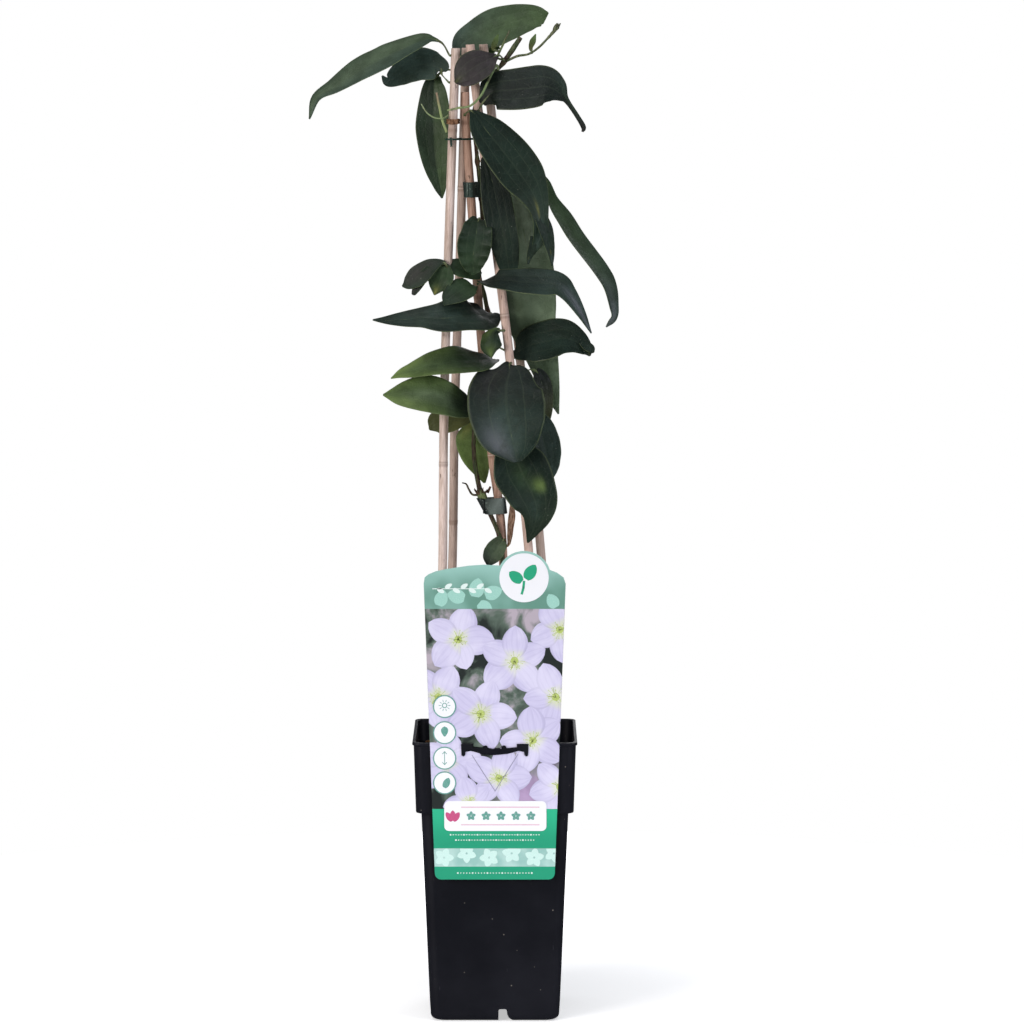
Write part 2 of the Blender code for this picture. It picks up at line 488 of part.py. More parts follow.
def label_outline():
    """The card's edge: a tapered sheet, an arched top and a round tab that stands above it."""
    def half_at(z):
        share = (z - LABEL_BOTTOM) / (LABEL_TOP - LABEL_BOTTOM)
        return LABEL_BOTTOM_HALF + share * (LABEL_TOP_HALF - LABEL_BOTTOM_HALF)

    points = []
    for k in range(5):
        a = math.radians(180 + 22.5 * k)
        points.append((-LABEL_BOTTOM_HALF + LABEL_CORNER * (1 + math.cos(a)),
                       LABEL_BOTTOM + LABEL_CORNER * (1 + math.sin(a))))
    for k in range(5):
        a = math.radians(270 + 22.5 * k)
        points.append((LABEL_BOTTOM_HALF - LABEL_CORNER * (1 - math.cos(a)),
                       LABEL_BOTTOM + LABEL_CORNER * (1 + math.sin(a))))
    points += [(half_at(LABEL_TOP - 3), LABEL_TOP - 3), (48.6, 321.2), (44, 324.6)]
    cx, cz = TAB_CENTRE
    for k in range(13):
        a = math.radians(17 + (153 - 17) * k / 12)
        points.append((cx + TAB_RADIUS * math.cos(a), cz + TAB_RADIUS * math.sin(a)))
    points += [(-8, 330.3), (-18.1, 329.6), (-34.3, 327.2), (-41.5, 325.6), (-46.5, 323.6),
               (-49.4, 321.3), (-half_at(LABEL_TOP - 3), LABEL_TOP - 3)]
    return points


def make_label():
    card = prism(label_outline(), LABEL_BACK - LABEL_THICKNESS, LABEL_BACK)
    label = finish("label", card, "label", smooth=False)
    cutter = finish("slot", prism(mirrored(SLOT_HALF), LABEL_BACK - 4, LABEL_BACK + 4), None)
    boolean(label, cutter, "DIFFERENCE")
    return label


def make_rod(name, key, sides):
    """A round rod along the axis of a cane, a stem or a shoot."""
    rows = axis_of(name)
    centres = [Vector(row[:3]) for row in rows]
    return finish(name, loft(tube_rings(centres, [row[3] for row in rows], sides)), key)


def belt_ring(circles, grow):
    """Points of the tight band round the circles, grown outwards."""
    ring = []
    for k in range(BELT_POINTS):
        a = 2 * math.pi * k / BELT_POINTS
        way = Vector((math.cos(a), math.sin(a)))
        x, y, r = max(circles, key=lambda c: c[0] * way.x + c[1] * way.y + c[2])
        ring.append((x + (r + grow) * way.x, y + (r + grow) * way.y))
    return ring


def make_belt(name, around, z, height, thick, slack):
    """A closed band that follows the lean of what it holds."""
    bm = bmesh.new()
    low, high = z - height / 2, z + height / 2
    loops = []
    for level, grow in ((low, slack), (low, slack + thick), (high, slack + thick), (high, slack)):
        circles = [(*support_at(n, level)[:2], support_at(n, level)[3]) for n in around]
        loops.append([bm.verts.new((x, y, level)) for x, y in belt_ring(circles, grow)])
    for first, second in zip(loops, loops[1:] + loops[:1]):
        for i in range(BELT_POINTS):
            j = (i + 1) % BELT_POINTS
            bm.faces.new((first[i], first[j], second[j], second[i]))
    return finish(name, bm, "dry" if name == "tie_band" else "tie")


def leaf_sections(spec):
    """Rings of a leaf: a round stalk that widens into a thin folded blade."""
    start = seat(spec["root"], STALK_RADIUS, (*spec["stalk"], *spec["blade"])[0])
    rows = [(*start[:3], STALK_RADIUS), *((*p, STALK_RADIUS) for p in spec["stalk"]), *spec["blade"]]
    rows = spline(rows, LEAF_STEPS)
    centres = [Vector(r[:3]) for r in rows]
    face = Vector(spec["face"]).normalized()
    rings = []
    for centre, tangent, row in zip(centres, tangents(centres), rows):
        half = max(row[3], 0.45)
        side = tangent.cross(face).normalized()
        up = side.cross(tangent)
        thin = min(1.0, max(0.0, (half - STALK_RADIUS) / 2.5))
        thick = STALK_RADIUS * 0.8 + thin * (BLADE_THICKNESS / 2 - STALK_RADIUS * 0.8)
        thick = min(thick, half)
        ring = []
        for k in range(2 * LEAF_ACROSS):
            a = math.pi * k / LEAF_ACROSS
            c = math.cos(a)
            rise = spec["fold"] * thin * half * abs(c) ** 1.4
            ring.append(centre + side * half * c + up * (thick * math.sin(a) + rise))
        rings.append(ring)
    return rings


def make_leaf(name):
    key = "dry" if name == "sheath_dry" else "leaf"
    return finish(name, loft(leaf_sections(LEAVES[name])), key)


def build():
    clear_scene()
    make_pot()
    make_soil()
    make_label()
    for name in CANES:
        make_rod(name, "cane_brown" if name == "cane_centre" else "cane", CANE_SIDES)
    make_rod("main_stem", "stem", STEM_SIDES)
    for name in SHOOTS:
        make_rod(name, "dry" if name == "tendril_dried" else "green_stem", SHOOT_SIDES)
    for name in LEAVES:
        make_leaf(name)
    for name, spec in BELTS.items():
        make_belt(name, **spec)


build()
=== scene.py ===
import math
import random

import bmesh
import bpy
from mathutils import Matrix, Vector, noise


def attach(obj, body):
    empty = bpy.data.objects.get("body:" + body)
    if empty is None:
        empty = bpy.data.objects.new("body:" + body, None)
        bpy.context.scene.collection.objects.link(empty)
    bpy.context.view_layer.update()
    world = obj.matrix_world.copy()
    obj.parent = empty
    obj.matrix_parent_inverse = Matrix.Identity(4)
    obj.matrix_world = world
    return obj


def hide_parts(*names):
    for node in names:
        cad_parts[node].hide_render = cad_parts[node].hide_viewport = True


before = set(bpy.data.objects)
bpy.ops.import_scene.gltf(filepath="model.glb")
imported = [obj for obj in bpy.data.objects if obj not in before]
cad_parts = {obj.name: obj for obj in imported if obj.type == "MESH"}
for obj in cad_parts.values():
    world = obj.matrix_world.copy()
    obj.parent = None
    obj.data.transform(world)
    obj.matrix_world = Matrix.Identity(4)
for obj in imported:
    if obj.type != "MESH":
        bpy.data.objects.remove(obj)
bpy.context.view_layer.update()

mm = 0.001
print("frame loaded with", len(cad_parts), "nodes")

# camera and studio

view = {
    "place": (0.0122, -3.560, 0.749),  # metres
    "tilt": math.radians(90) - 0.1085,  # a little below level
    "lens": 175.78,
    "sensor": 36.0,
}
studio = {
    "backdrop": "#ffffff",
    "above": "#e9eef8", "aboveStrength": 0.42,  # light from overhead
    "level": "#8d9096", "levelStrength": 0.32,  # light from the sides
    "floor": "#f4f4f4", "floorGlow": (0.5, 1.1), "floorRadius": 0.75, "floorHeight": -0.0002,
    "lamps": {  # place, aim, side length in metres, watts, colour
        "softboxAbove": ((-0.35, -0.75, 2.1), (0.0, 0.0, 0.45), 1.1, 9.0, "#ffffff"),
        "softboxLeft": ((-1.9, -2.1, 1.0), (0.0, 0.0, 0.4), 1.1, 44.0, "#fff8f4"),
        "softboxRight": ((2.1, -1.7, 0.9), (0.0, 0.0, 0.4), 0.9, 22.0, "#f2f4ff"),
        "softboxBack": ((0.6, 2.2, 1.3), (0.0, 0.0, 0.45), 1.2, 10.0, "#ffffff"),
    },
}

# what each piece is made from: millimetres, and screen colours

canes = {  # points along each axis, heights of the joints in the bamboo, and its colours
    "cane_front_left": dict(
        joints=(262, 398, 522, 634), radius=3.15, pale="#e6d2c8", deep="#a8907f",
        points=((-42, -41, 110), (-40, -38, 190), (-37.2, -29.5, 323), (-36.2, -22.6, 431),
            (-32.8, -15, 552), (-27.6, -6, 692))),
    "cane_back_left": dict(
        joints=(231, 351, 478, 592), radius=3.15, pale="#c9b3a6", deep="#8d766a",
        points=((-38, 41, 110), (-36, 38, 190), (-30.8, 29.5, 323), (-29, 22.6, 431),
            (-24.7, 14.7, 555), (-20.4, 6, 692))),
    "cane_front_right": dict(
        joints=(250, 374, 503, 640), radius=3.15, pale="#e0c4b6", deep="#a5887a",
        points=((43, -41, 110), (38, -38, 190), (24, -28.5, 338), (10.4, -19, 474), (-3.6, -11.3, 585),
            (-17.5, -3, 694.5))),
    "cane_back_right": dict(
        joints=(238, 362, 470, 601), radius=3.15, pale="#cdb7aa", deep="#927a6d",
        points=((44, 40, 110), (42, 38, 190), (32.6, 29, 334.5), (19.5, 20.5, 455), (6, 13.5, 575),
            (-8.2, 6, 694.5))),
    "cane_centre": dict(
        joints=(276, 402, 516, 640), radius=3.15, pale="#c8a591", deep="#83604f",
        points=((10, 4, 70), (9, 3, 190), (5.4, 0, 337), (-2.5, -1, 406), (-9.7, -2, 485),
            (-15.8, -3, 570), (-20.4, -4, 634), (-21.1, -4, 661))),
}
stem = {
    "points": (  # x, y, z, radius
        (9, -14, 140, 1.9), (8, -11, 190, 1.8), (6.5, -9, 260, 1.6), (5.4, -8, 327, 1.6),
        (3.2, -6.7, 344, 1.6), (-3.2, -5.2, 359.8, 1.6), (-6.8, -4.5, 366.6, 1.7),
        (-10.4, -4, 375.6, 1.9), (-14.7, -2, 398.9, 1.5), (-14.7, 0, 420, 1.5), (-10, 2, 441, 1.5),
        (-5.4, 4, 462.6, 1.5), (-2.5, 5, 484.4, 1.5), (-6.8, 5, 513.3, 1.5), (-11.1, 4, 531.1, 1.5),
        (-9.7, 4, 552, 1.4), (-9, 3, 569.8, 1.4), (-10.4, 2, 591.8, 1.4), (-12.5, 0, 613, 1.4),
        (-14, -0.8, 627.2, 1.4), (-15.4, 0, 640.7, 1.4), (-12.5, 0.5, 655.5, 1.3),
        (-4, 0, 669.3, 1.3), (5.4, 0, 681, 1.4), (12, -1, 690.5, 1.9), (18.3, -2, 699.7, 1.6)),
    "joints": (342, 375, 428, 470, 504, 586, 612, 640, 682),  # heights where shoots and leaves leave it
    "swelling": 0.42,  # share of the radius
    "bark": 0.16,  # how far the ridges stand out
    "strips": 26, "seed": 11,  # loose strips of bark
    "knot": (-9.4, -5.2, 374.0),
    "flaps": (  # round the knot: direction in degrees, length, lean
        (200, 4.6, 0.6), (245, 3.8, 0.9), (290, 5.2, 0.5), (335, 4.2, 1.0), (20, 3.6, 0.7), (110, 4.4, 0.6),
        (160, 3.4, 0.9)),
    "green": "#3c4a2c", "brown": "#412e2a", "cut": "#7a3f3b",
}
shoots = {  # where each leaves its support, then x, y, z, radius
    "shoot_upright": dict(
        root=("main_stem", 684, 170),
        colour="#56683a", end="#2a2a20",
        points=((2.0, -5, 686, 0.8), (6, -6, 695, 0.8), (10.4, -6, 704.5, 0.5))),
    "bud_stalk": dict(
        root=("main_stem", 683, -50),
        colour="#4a5636", end="#38412c",
        points=((16, -3.5, 686.5, 0.9), (24, -4, 688, 0.8), (31, -4, 692.5, 0.8),
            (37.6, -4, 699.2, 0.9), (41, -4, 703, 1.2), (45, -4, 707.2, 1.2))),
    "vine_thin": dict(
        root=("main_stem", 586, -30),
        colour="#a3917c", end="#7d6c5a",
        points=((-6.5, -1, 583, 0.6), (-3.2, -2.5, 562.6, 0.6), (0.5, -3, 546, 0.6),
            (3.2, -2.5, 533.2, 0.5))),
    "tendril_right": dict(
        root=("main_stem", 677, -80),
        colour="#6f8557", end="#7d9060",
        points=((1, -14, 680, 0.9), (-4, -21, 670.5, 0.9), (-9.5, -25, 659.5, 0.8),
            (-17, -21, 652, 0.8), (-26, -17, 650.2, 0.8), (-33.5, -14, 648.5, 0.6))),
    "stub_left": dict(
        root=("cane_front_left", 633, 180),
        colour="#93a46c", end="#8a6f60",
        points=((-37, -12, 641, 0.9), (-39, -13, 650, 0.9), (-41.2, -13.5, 661, 0.7))),
    "tendril_left": dict(
        root=("cane_front_left", 645, 200),
        colour="#7d8f63", end="#8b9a74",
        points=((-36.5, -15.5, 643, 0.5), (-42.6, -16.5, 643.4, 0.5), (-48, -16, 647, 0.5),
            (-52, -15, 653, 0.4))),
    "tendril_dried": dict(
        root=("main_stem", 374, -160),
        colour="#4b3a33", end="#2f2724",
        points=((-16, -6.5, 374.5, 0.8), (-18.5, -7, 378, 0.75), (-20.5, -7.2, 382, 0.6),
            (-23.5, -7, 383, 0.4))),
}
# root: what carries it, height, direction in degrees; stalk: x, y, z; blade: x, y, z, half width;
# face: the way the upper face looks; tint: at the stalk and at the tip; halves: left and right, on leaf_10
# a painted shaded half and a painted lit half; patches: along, across, size, tint, strength, many of them
# painted sheen, highlights and shade; wave: height, number, phase; extra: further lobes
leaves = {
    "leaf_01": dict(
        root=("cane_front_left", 687, 180), stalk=((-37, -8, 695.5),), face=(-0.2, -0.6, 0.75), fold=0.1,
        tint=("mid", "slateSheen"), halves=("mid", "slateSheen"), wave=(0.05, 1.5, 0.4),
        patches=((0.8, 0, 0.35, "pale", 0.6), (0.35, 0.5, 0.25, "pale", 0.5)),
        blade=((-44, -9, 698.5, 3), (-50.5, -10, 698, 7.5), (-68.4, -13, 690.5, 11.5),
            (-80.5, -16, 684.3, 12.5), (-94.9, -19, 676.6, 12), (-112, -22, 665.6, 8.5),
            (-125.7, -24, 657.4, 4.5), (-130.7, -25, 642.6, 0.6))),
    "leaf_02": dict(
        root=("cane_front_left", 668, 170), stalk=((-37.5, -3, 673.5),), face=(0, -0.95, 0.3), fold=0.1,
        tint=("slateSheen", "slateSheen"), wave=(0.06, 2, 1.0),
        blade=((-38, -1, 677.5, 6.5), (-43, 0, 679, 10.5), (-52, 3, 680.5, 12), (-61, 4, 677.5, 11),
            (-69, 4, 672.3, 8), (-76, 2, 668.4, 4), (-80, -1, 672.5, 0.6))),
    "leaf_03": dict(
        root=("cane_back_left", 673, 150), stalk=((-31, 8, 676.5), (-38, 8, 675)), face=(-0.2, -1, 0.1),
            fold=0.1,
        tint=("dark", "mid"), halves=("dark", "fresh"), wave=(0.04, 2, 0),
        blade=((-42.6, 6, 669, 6), (-43.3, 5, 658.5, 10), (-43.3, 4, 636, 13), (-41.9, 4, 612.3, 10),
            (-39, 4, 594.5, 5), (-37.6, 4, 585.5, 0.6))),
    "leaf_04": dict(
        root=("cane_back_left", 680, 90), stalk=((-24, 13, 683),), face=(0, -0.85, 0.5), fold=0.08,
        tint=("slateSheen", "fresh"), wave=(0.04, 1.5, 2),
        patches=((0.55, 0.2, 0.4, "fresh", 0.7),),
        blade=((-26, 15, 689, 4), (-22, 17.5, 696, 9), (-12, 19, 701, 13), (-0.4, 19, 705.5, 15.5),
            (14, 18, 710.5, 13.5), (26.9, 17, 713.5, 10), (34, 16.3, 713, 7), (36.2, 16, 712.2, 4.5)),
        extra=(((-27, 14.5, 683.5, 2.5), (-19, 15.5, 688, 8), (-9, 16.5, 690.5, 8), (3, 17, 694, 3)),)),
    "leaf_05": dict(
        root=("main_stem", 683, -90), stalk=((3.5, -9, 687),), face=(0, -0.9, 0.45), fold=0.1,
        tint=("plum", "plum"), wave=(0.03, 1, 0),
        patches=((1.0, 0, 0.16, "olive", 0.9),),
        blade=((-1, -15, 686, 4), (-5, -17.5, 684, 8.5), (-11, -20, 681, 12), (-18, -20.5, 676.5, 12),
            (-24, -19, 671.5, 8), (-28, -17, 668, 0.8))),
    "leaf_06": dict(
        root=("cane_front_right", 648, -90), stalk=((-10.5, -12, 650.5),), face=(0, -0.9, 0.45),
            fold=0.1,
        tint=("ink", "ink"), wave=(0.05, 2, 1),
        patches=((0.72, -0.4, 0.12, "mid", 0.8), (0.6, -0.7, 0.2, "slateSheen", 0.5),
            (0.97, 0, 0.13, "plum", 1.0)),
        blade=((-6, -13.5, 657, 6.5), (-0.4, -16, 661.5, 14), (11.8, -19, 663, 16),
            (26.1, -21, 664.5, 16.5), (36, -22, 665.5, 15), (43.5, -22, 662.5, 10), (48.5, -22, 658, 4),
            (51.5, -22, 654.5, 2), (58, -21.5, 645, 1.7), (62.6, -21, 637, 1.8), (62, -21, 633.5, 0.8))),
    "leaf_07": dict(
        root=("cane_centre", 645, -100), stalk=((-18, -11, 648),), face=(0.3, -0.9, 0.35), fold=0.12,
        tint=("deep", "dark"), wave=(0.04, 2, 2),
        patches=((0.9, 0, 0.2, "slateSheen", 1.0), (0.7, 0.1, 0.05, "yellow", 0.7)),
        blade=((-15.4, -14, 647, 3), (-7.5, -18, 636.5, 12), (5.4, -20, 620.5, 17),
            (19, -24, 602.6, 17), (27.6, -26, 589.3, 11.5), (31.9, -27, 575, 6.5), (31.9, -26, 560.3, 5),
            (25.4, -25, 544.7, 0.6)),
        extra=(((27.5, -26.3, 560, 2.5), (26.3, -26.2, 552, 3), (24.3, -26, 545, 1.9),
            (23.6, -26, 540.5, 0.8)), ((31, -26.6, 577, 4.5), (35.5, -26.2, 566, 5.5),
            (38.2, -25.8, 556, 4.2), (40, -25.4, 547, 2.4), (40.6, -25, 539, 0.6)))),
    "leaf_08": dict(
        root=("cane_centre", 570, -50), stalk=((-11, -10, 572),), face=(0, -1, 0.2), fold=0.15,
        tint=("dark", "mid"), wave=(0.16, 6, 0),
        blade=((-12, -17.5, 569.4, 8), (-13.2, -23.5, 560.4, 11.5), (-14.7, -24.5, 550.8, 12),
            (-15.4, -25, 542.4, 9.5), (-15.2, -24.5, 535.5, 5), (-15.2, -24.3, 532.5, 0.6))),
    "leaf_09": dict(
        root=("cane_front_right", 617, -90), stalk=(), face=(0, -1, 0.1), fold=0.04,
        tint=("ink", "deep"), wave=(0.03, 1, 0),
        blade=((-6.1, -15, 613.4, 4), (-0.3, -18.8, 592.6, 10), (4, -20.5, 571, 11), (8, -21, 550, 9.5),
            (10.4, -19, 534, 5.7), (11.8, -17, 525, 0.6))),
    # leaf_10 is folded along its rib: the ink half is painted shade, the pale half and the sage patch are
    # painted light on its paler underside, and the mist patch is a painted pool of light
    "leaf_10": dict(
        root=("main_stem", 608, 45), stalk=((-7, 4, 608),), face=(0, -1, 0), fold=0.03,
        tint=("deep", "under"), halves=("ink", "pale"), split=0.55, wave=(0.03, 2, 0),
        patches=((0.6, -0.4, 0.45, "sageLit", 1.0), (0.26, -0.25, 0.16, "mist", 1.0),
            (0.85, 0, 0.3, "mid", 0.7)),
        blade=((3.2, 6, 602, 5), (14, 6.8, 584.2, 12), (20.4, 7, 562.8, 17), (23.3, 7.5, 537.8, 18.5),
            (24.7, 8, 512.9, 19), (26.9, 8.5, 494.9, 17), (33.3, 8.5, 473.4, 12), (39, 8, 452, 7.5),
            (45.5, 7, 431, 0.6))),
    "leaf_11": dict(
        root=("main_stem", 612, 10), stalk=((5, -1, 614), (22, -6, 608.5)), face=(0.75, -0.45, 0.5),
            fold=0.12,
        tint=("mid", "slateSheen"), wave=(0.04, 2, 0),
        patches=((0.85, 0.1, 0.3, "ashSheen", 0.85), (0.4, 0, 0.4, "fresh", 0.5)),
        blade=((36, -10, 600.4, 2), (40.5, -11, 584.5, 8), (49, -12, 571.2, 12), (59, -13, 555.5, 13),
            (74.1, -15, 534.8, 12), (80.6, -16, 524, 10), (84.1, -16, 510, 7), (84.5, -16, 502, 4),
            (79.1, -15, 495, 0.6))),
    "leaf_12": dict(
        root=("cane_centre", 525, -80), stalk=((-10.5, -14, 527),), face=(0.25, -0.6, 0.75), fold=0.1,
        tint=("ink", "slateSheen"), wave=(0.03, 2, 0),
        patches=((0.95, 0, 0.2, "ashSheen", 1.0), (0.35, 0, 0.3, "ink", 0.8)),
        blade=((-9, -20, 528, 4), (-3, -27, 529, 9), (3.2, -30, 529.5, 11), (10, -31, 529, 12),
            (19, -31, 528, 13.5), (33.3, -31, 527, 14), (44.8, -31, 525.8, 12), (52, -31, 519.5, 8.5),
            (60.5, -30, 506.5, 5), (68.4, -28, 491.5, 0.6))),
    "leaf_13": dict(
        root=("main_stem", 481, 30), stalk=((6, 4, 477.5),), face=(0, -0.8, 0.6), fold=0.1,
        tint=("deep", "deep"), wave=(0.05, 2, 0),
        patches=((1.0, 0, 0.1, "olive", 1.0), (0.5, 0.2, 0.3, "slateSheen", 0.4)),
        blade=((12, 0, 475.5, 2), (16.1, -3, 476.3, 7), (25.4, -5, 481.4, 15), (37.6, -7, 484.4, 17),
            (49, -9, 486.6, 15), (58.4, -10, 483.9, 10), (65.5, -11, 478.2, 5), (67.7, -11, 474, 0.6)),
        extra=(((61, -12.2, 484.5, 2), (65, -12.6, 481.5, 3.6), (68.5, -12.6, 479, 3.2),
            (70.3, -12.4, 476.5, 0.8)),)),
    "leaf_14": dict(
        root=("cane_front_left", 531, -60), stalk=((-34, -22, 539),), face=(0, -0.85, 0.5), fold=0.1,
        tint=("dark", "dark"), wave=(0.05, 1, 0),
        patches=((0.6, 0.3, 0.4, "plum", 0.8),),
        blade=((-37.6, -22, 541.5, 2.2), (-45.5, -23, 538.5, 6), (-54, -24, 532, 8),
            (-61.2, -25, 526.5, 5), (-65.5, -25, 524.5, 0.6)),
        extra=(((-46, -23.3, 538, 2.5), (-51, -24.2, 531, 4), (-54.5, -24.4, 525, 3.6),
            (-57.3, -24.4, 519.5, 1.8), (-57.8, -24.4, 518.3, 0.8)),)),
    "leaf_15": dict(
        root=("cane_front_left", 536, 200), stalk=(), face=(0, -1, 0.3), fold=0.15,
        tint=("mid", "mid"), wave=(0.06, 2, 0),
        patches=((1.0, 0, 0.2, "yellow", 1.0),),
        blade=((-37, -21, 538.5, 5), (-38, -22.5, 532, 9.3), (-40.5, -22.5, 525, 6.8),
            (-42.8, -22, 518.2, 0.5))),
    "leaf_16": dict(
        root=("cane_centre", 519, -120), stalk=((-14.5, -12, 523),), face=(0, -0.8, 0.6), fold=0.12,
        tint=("mid", "dark"), wave=(0.04, 1, 0),
        blade=((-15.5, -20, 525, 4), (-19.7, -24, 523.5, 9), (-26.9, -28, 520.2, 9.5),
            (-32.6, -31, 516, 6), (-36, -32, 511.8, 0.6)),
        extra=(((-10, -15, 531, 3), (-17, -17, 534.5, 7), (-26, -18, 537.5, 7.5), (-34, -18, 540.5, 3),
            (-37, -18, 541.5, 0.8)),)),
    # the ink patch at the stalk end is painted shade over the base of the blade, and the slate patch painted
    # sheen
    "leaf_17": dict(
        root=("main_stem", 503, -70), stalk=((-3, -2, 504),), face=(0, -0.75, 0.66), fold=0.1,
        tint=("ink", "deep"), wave=(0.05, 2.5, 0),
        patches=((0.45, 0, 0.35, "slateSheen", 0.6), (0.05, 0, 0.2, "ink", 1.0)),
        blade=((-3.5, -8, 504, 9), (-8, -14.5, 503.5, 14.5), (-13, -21, 503.8, 16.5),
            (-22, -28, 503.8, 15.5), (-36.2, -34, 502.7, 14), (-50.5, -34, 503, 9.5),
            (-64.8, -33, 501.5, 6.5), (-75.5, -32, 501, 4), (-86.3, -30, 501.2, 0.6))),
    "leaf_18": dict(
        root=("main_stem", 470, -70), stalk=((-1, -4, 470.5),), face=(0, -0.6, 0.8), fold=0.1,
        tint=("deep", "lime"), wave=(0.04, 2, 0),
        patches=((0.4, 0, 0.35, "deep", 0.8), (0.72, 0, 0.2, "fresh", 0.6)),
        blade=((-0.5, -10, 471.5, 4), (-5.5, -18, 472.5, 8.5), (-13, -26, 472.3, 14),
            (-23, -33, 472.5, 15), (-34.7, -37, 471.3, 14), (-46.9, -37, 469.2, 12), (-59, -36, 465.5, 8),
            (-67, -35, 463.2, 4.5), (-73.4, -33, 460, 0.6))),
    "leaf_19": dict(
        root=("cane_front_right", 493, -120), stalk=(), face=(0.2, -1, 0.2), fold=0.3,
        tint=("dark", "dark"), wave=(0.3, 2, 0),
        patches=((0.3, 0.8, 0.25, "lime", 0.9), (0.9, 0, 0.25, "lime", 0.8)),
        blade=((0.5, -23.5, 492.5, 3), (-2.5, -25.5, 487, 7.5), (-3.5, -27, 480.5, 6.5),
            (-2.5, -27.5, 474.5, 1))),
    # the slate and ash patches are painted highlights on the glossy blade
    "leaf_20": dict(
        root=("cane_front_right", 470, -80), stalk=(), face=(0, -1, 0.2), fold=0.08,
        tint=("ink", "deep"), wave=(0.04, 3, 0),
        patches=((0.72, 0.1, 0.25, "slateSheen", 0.75), (0.82, 0.5, 0.16, "ashSheen", 0.6),
            (0.3, 0.5, 0.2, "plum", 0.4)),
        blade=((10.3, -28.5, 469, 5), (10.3, -32.5, 464.2, 16), (8.3, -36.5, 455.2, 25),
            (8, -40, 444.7, 27.5), (9, -43, 434.8, 27), (11.1, -46, 423.2, 24), (14, -48, 412, 17),
            (16.1, -48, 402, 3))),
    # the sage patch is a painted highlight
    "leaf_21": dict(
        root=("main_stem", 434, -100), stalk=((-15, -12, 437),), face=(0, -0.85, 0.5), fold=0.1,
        tint=("deep", "lime"), wave=(0.04, 2, 0),
        patches=((0.3, 0, 0.3, "deep", 0.9), (0.75, 0.3, 0.3, "fresh", 0.8),
            (0.62, -0.05, 0.16, "sageLit", 0.45)),
        blade=((-14, -20, 438, 4), (-19, -26, 439.5, 9), (-26, -31, 442, 11.5), (-34, -34, 445, 13),
            (-46.2, -35, 448.3, 14.5), (-57.6, -35, 449, 12.5), (-68.4, -34, 448.2, 8),
            (-79.1, -33, 448.2, 0.6))),
    "leaf_22": dict(
        root=("main_stem", 428, 170), stalk=(), face=(0, -0.9, 0.45), fold=0.1,
        tint=("olive", "olive"), wave=(0.06, 2, 0),
        blade=((-18, 3, 428.5, 4), (-29, 4, 427.3, 8.5), (-41.2, 4, 424.4, 9.5), (-47, 4, 420, 0.6))),
    "leaf_23": dict(
        root=("main_stem", 422, 60), stalk=(), face=(0, -1, 0.1), fold=0.1,
        tint=("young", "lime"), wave=(0.06, 2, 0),
        patches=((0.1, 0.5, 0.2, "yellow", 0.8),),
        blade=((-14.8, 5, 423.5, 4), (-17, 6.5, 416, 10), (-16, 7, 409, 11.6), (-12.5, 7, 398, 9.6),
            (-9.5, 7, 389, 5.5), (-7.4, 7, 381.4, 0.8))),
    # the small fresh and lime patches are painted light shining through the blade, and the slate patch
    # painted sheen
    "leaf_24": dict(
        root=("cane_front_right", 411, -80), stalk=(), face=(0.1, -1, 0.2), fold=0.1,
        tint=("deep", "dark"), wave=(0.05, 2, 0),
        patches=((0.3, 0.05, 0.13, "mid", 0.9), (0.4, -0.15, 0.05, "fresh", 0.8),
            (0.41, -0.32, 0.05, "lime", 0.8), (0.42, -0.48, 0.05, "lime", 0.9),
            (0.62, 0.2, 0.2, "slateSheen", 0.4)),
        blade=((13, -30.5, 409, 12), (17.5, -34, 397, 20), (24.2, -36, 383, 19), (29, -36, 371.5, 16),
            (29.7, -36, 362.2, 11), (26.9, -35, 352.2, 5.5), (23.3, -33, 342.8, 0.6))),
    "leaf_25": dict(
        root=("cane_front_right", 461, 10), stalk=((20, -14, 463), (27, -12, 464.5)),
            face=(0.4, -0.9, 0.1), fold=0.1,
        tint=("ink", "olive"), wave=(0.05, 2, 0),
        blade=((31, -11, 461, 5), (34, -11, 452, 7.5), (34, -12, 440, 8), (33, -12, 428, 6.5),
            (33.5, -12, 419, 3), (34.5, -12, 413, 0.6))),
    # the under tint and the pale patches are a painted lit rim, and the ink towards the tip painted shade in
    # the cupped blade
    "leaf_26": dict(
        root=("main_stem", 342, -60), stalk=((7, -13, 343),), face=(0.2, -0.8, 0.6), fold=0.5,
        tint=("under", "ink"), wave=(0.04, 1, 0),
        patches=((0.2, -0.7, 0.5, "pale", 1.0), (0.05, 0.6, 0.25, "pale", 0.9)),
        blade=((4.5, -15, 341, 5), (0.5, -17, 335.5, 7), (-3, -18, 330, 6), (-4.7, -18, 324, 0.6))),
    "leaf_27": dict(
        root=("cane_front_right", 440, 10), stalk=((21, -21, 438),), face=(0.2, -0.95, 0.1), fold=0.08,
        tint=("deep", "slateSheen"), wave=(0.05, 2, 0),
        patches=((0.5, 0, 0.3, "slateSheen", 0.6),),
        blade=((25, -20, 434, 5), (31, -19, 425, 10), (35, -19, 413, 11.5), (37, -19, 402, 10),
            (37.6, -19, 392, 7), (37.6, -18, 383, 0.6))),
    "bract_left": dict(
        root=("shoot_upright", 690, 180), stalk=(), face=(0, -1, 0.2), fold=0.2,
        tint=("olive", "young"), wave=(0, 1, 0),
        blade=((-1, -6.5, 692, 1.4), (0.5, -7.5, 697, 2), (2.5, -8, 702, 0.4))),
    "bract_right": dict(
        root=("bud_stalk", 689, 80), stalk=(), face=(0, -1, 0.2), fold=0.2,
        tint=("olive", "young"), wave=(0, 1, 0),
        blade=((25.5, -1, 692.5, 1.5), (27, 0, 697, 2.2), (29, 1, 702, 0.4))),
    "sheath_dry": dict(
        root=("cane_centre", 337, -20), stalk=(), face=(0.4, -0.9, 0), fold=0.2,
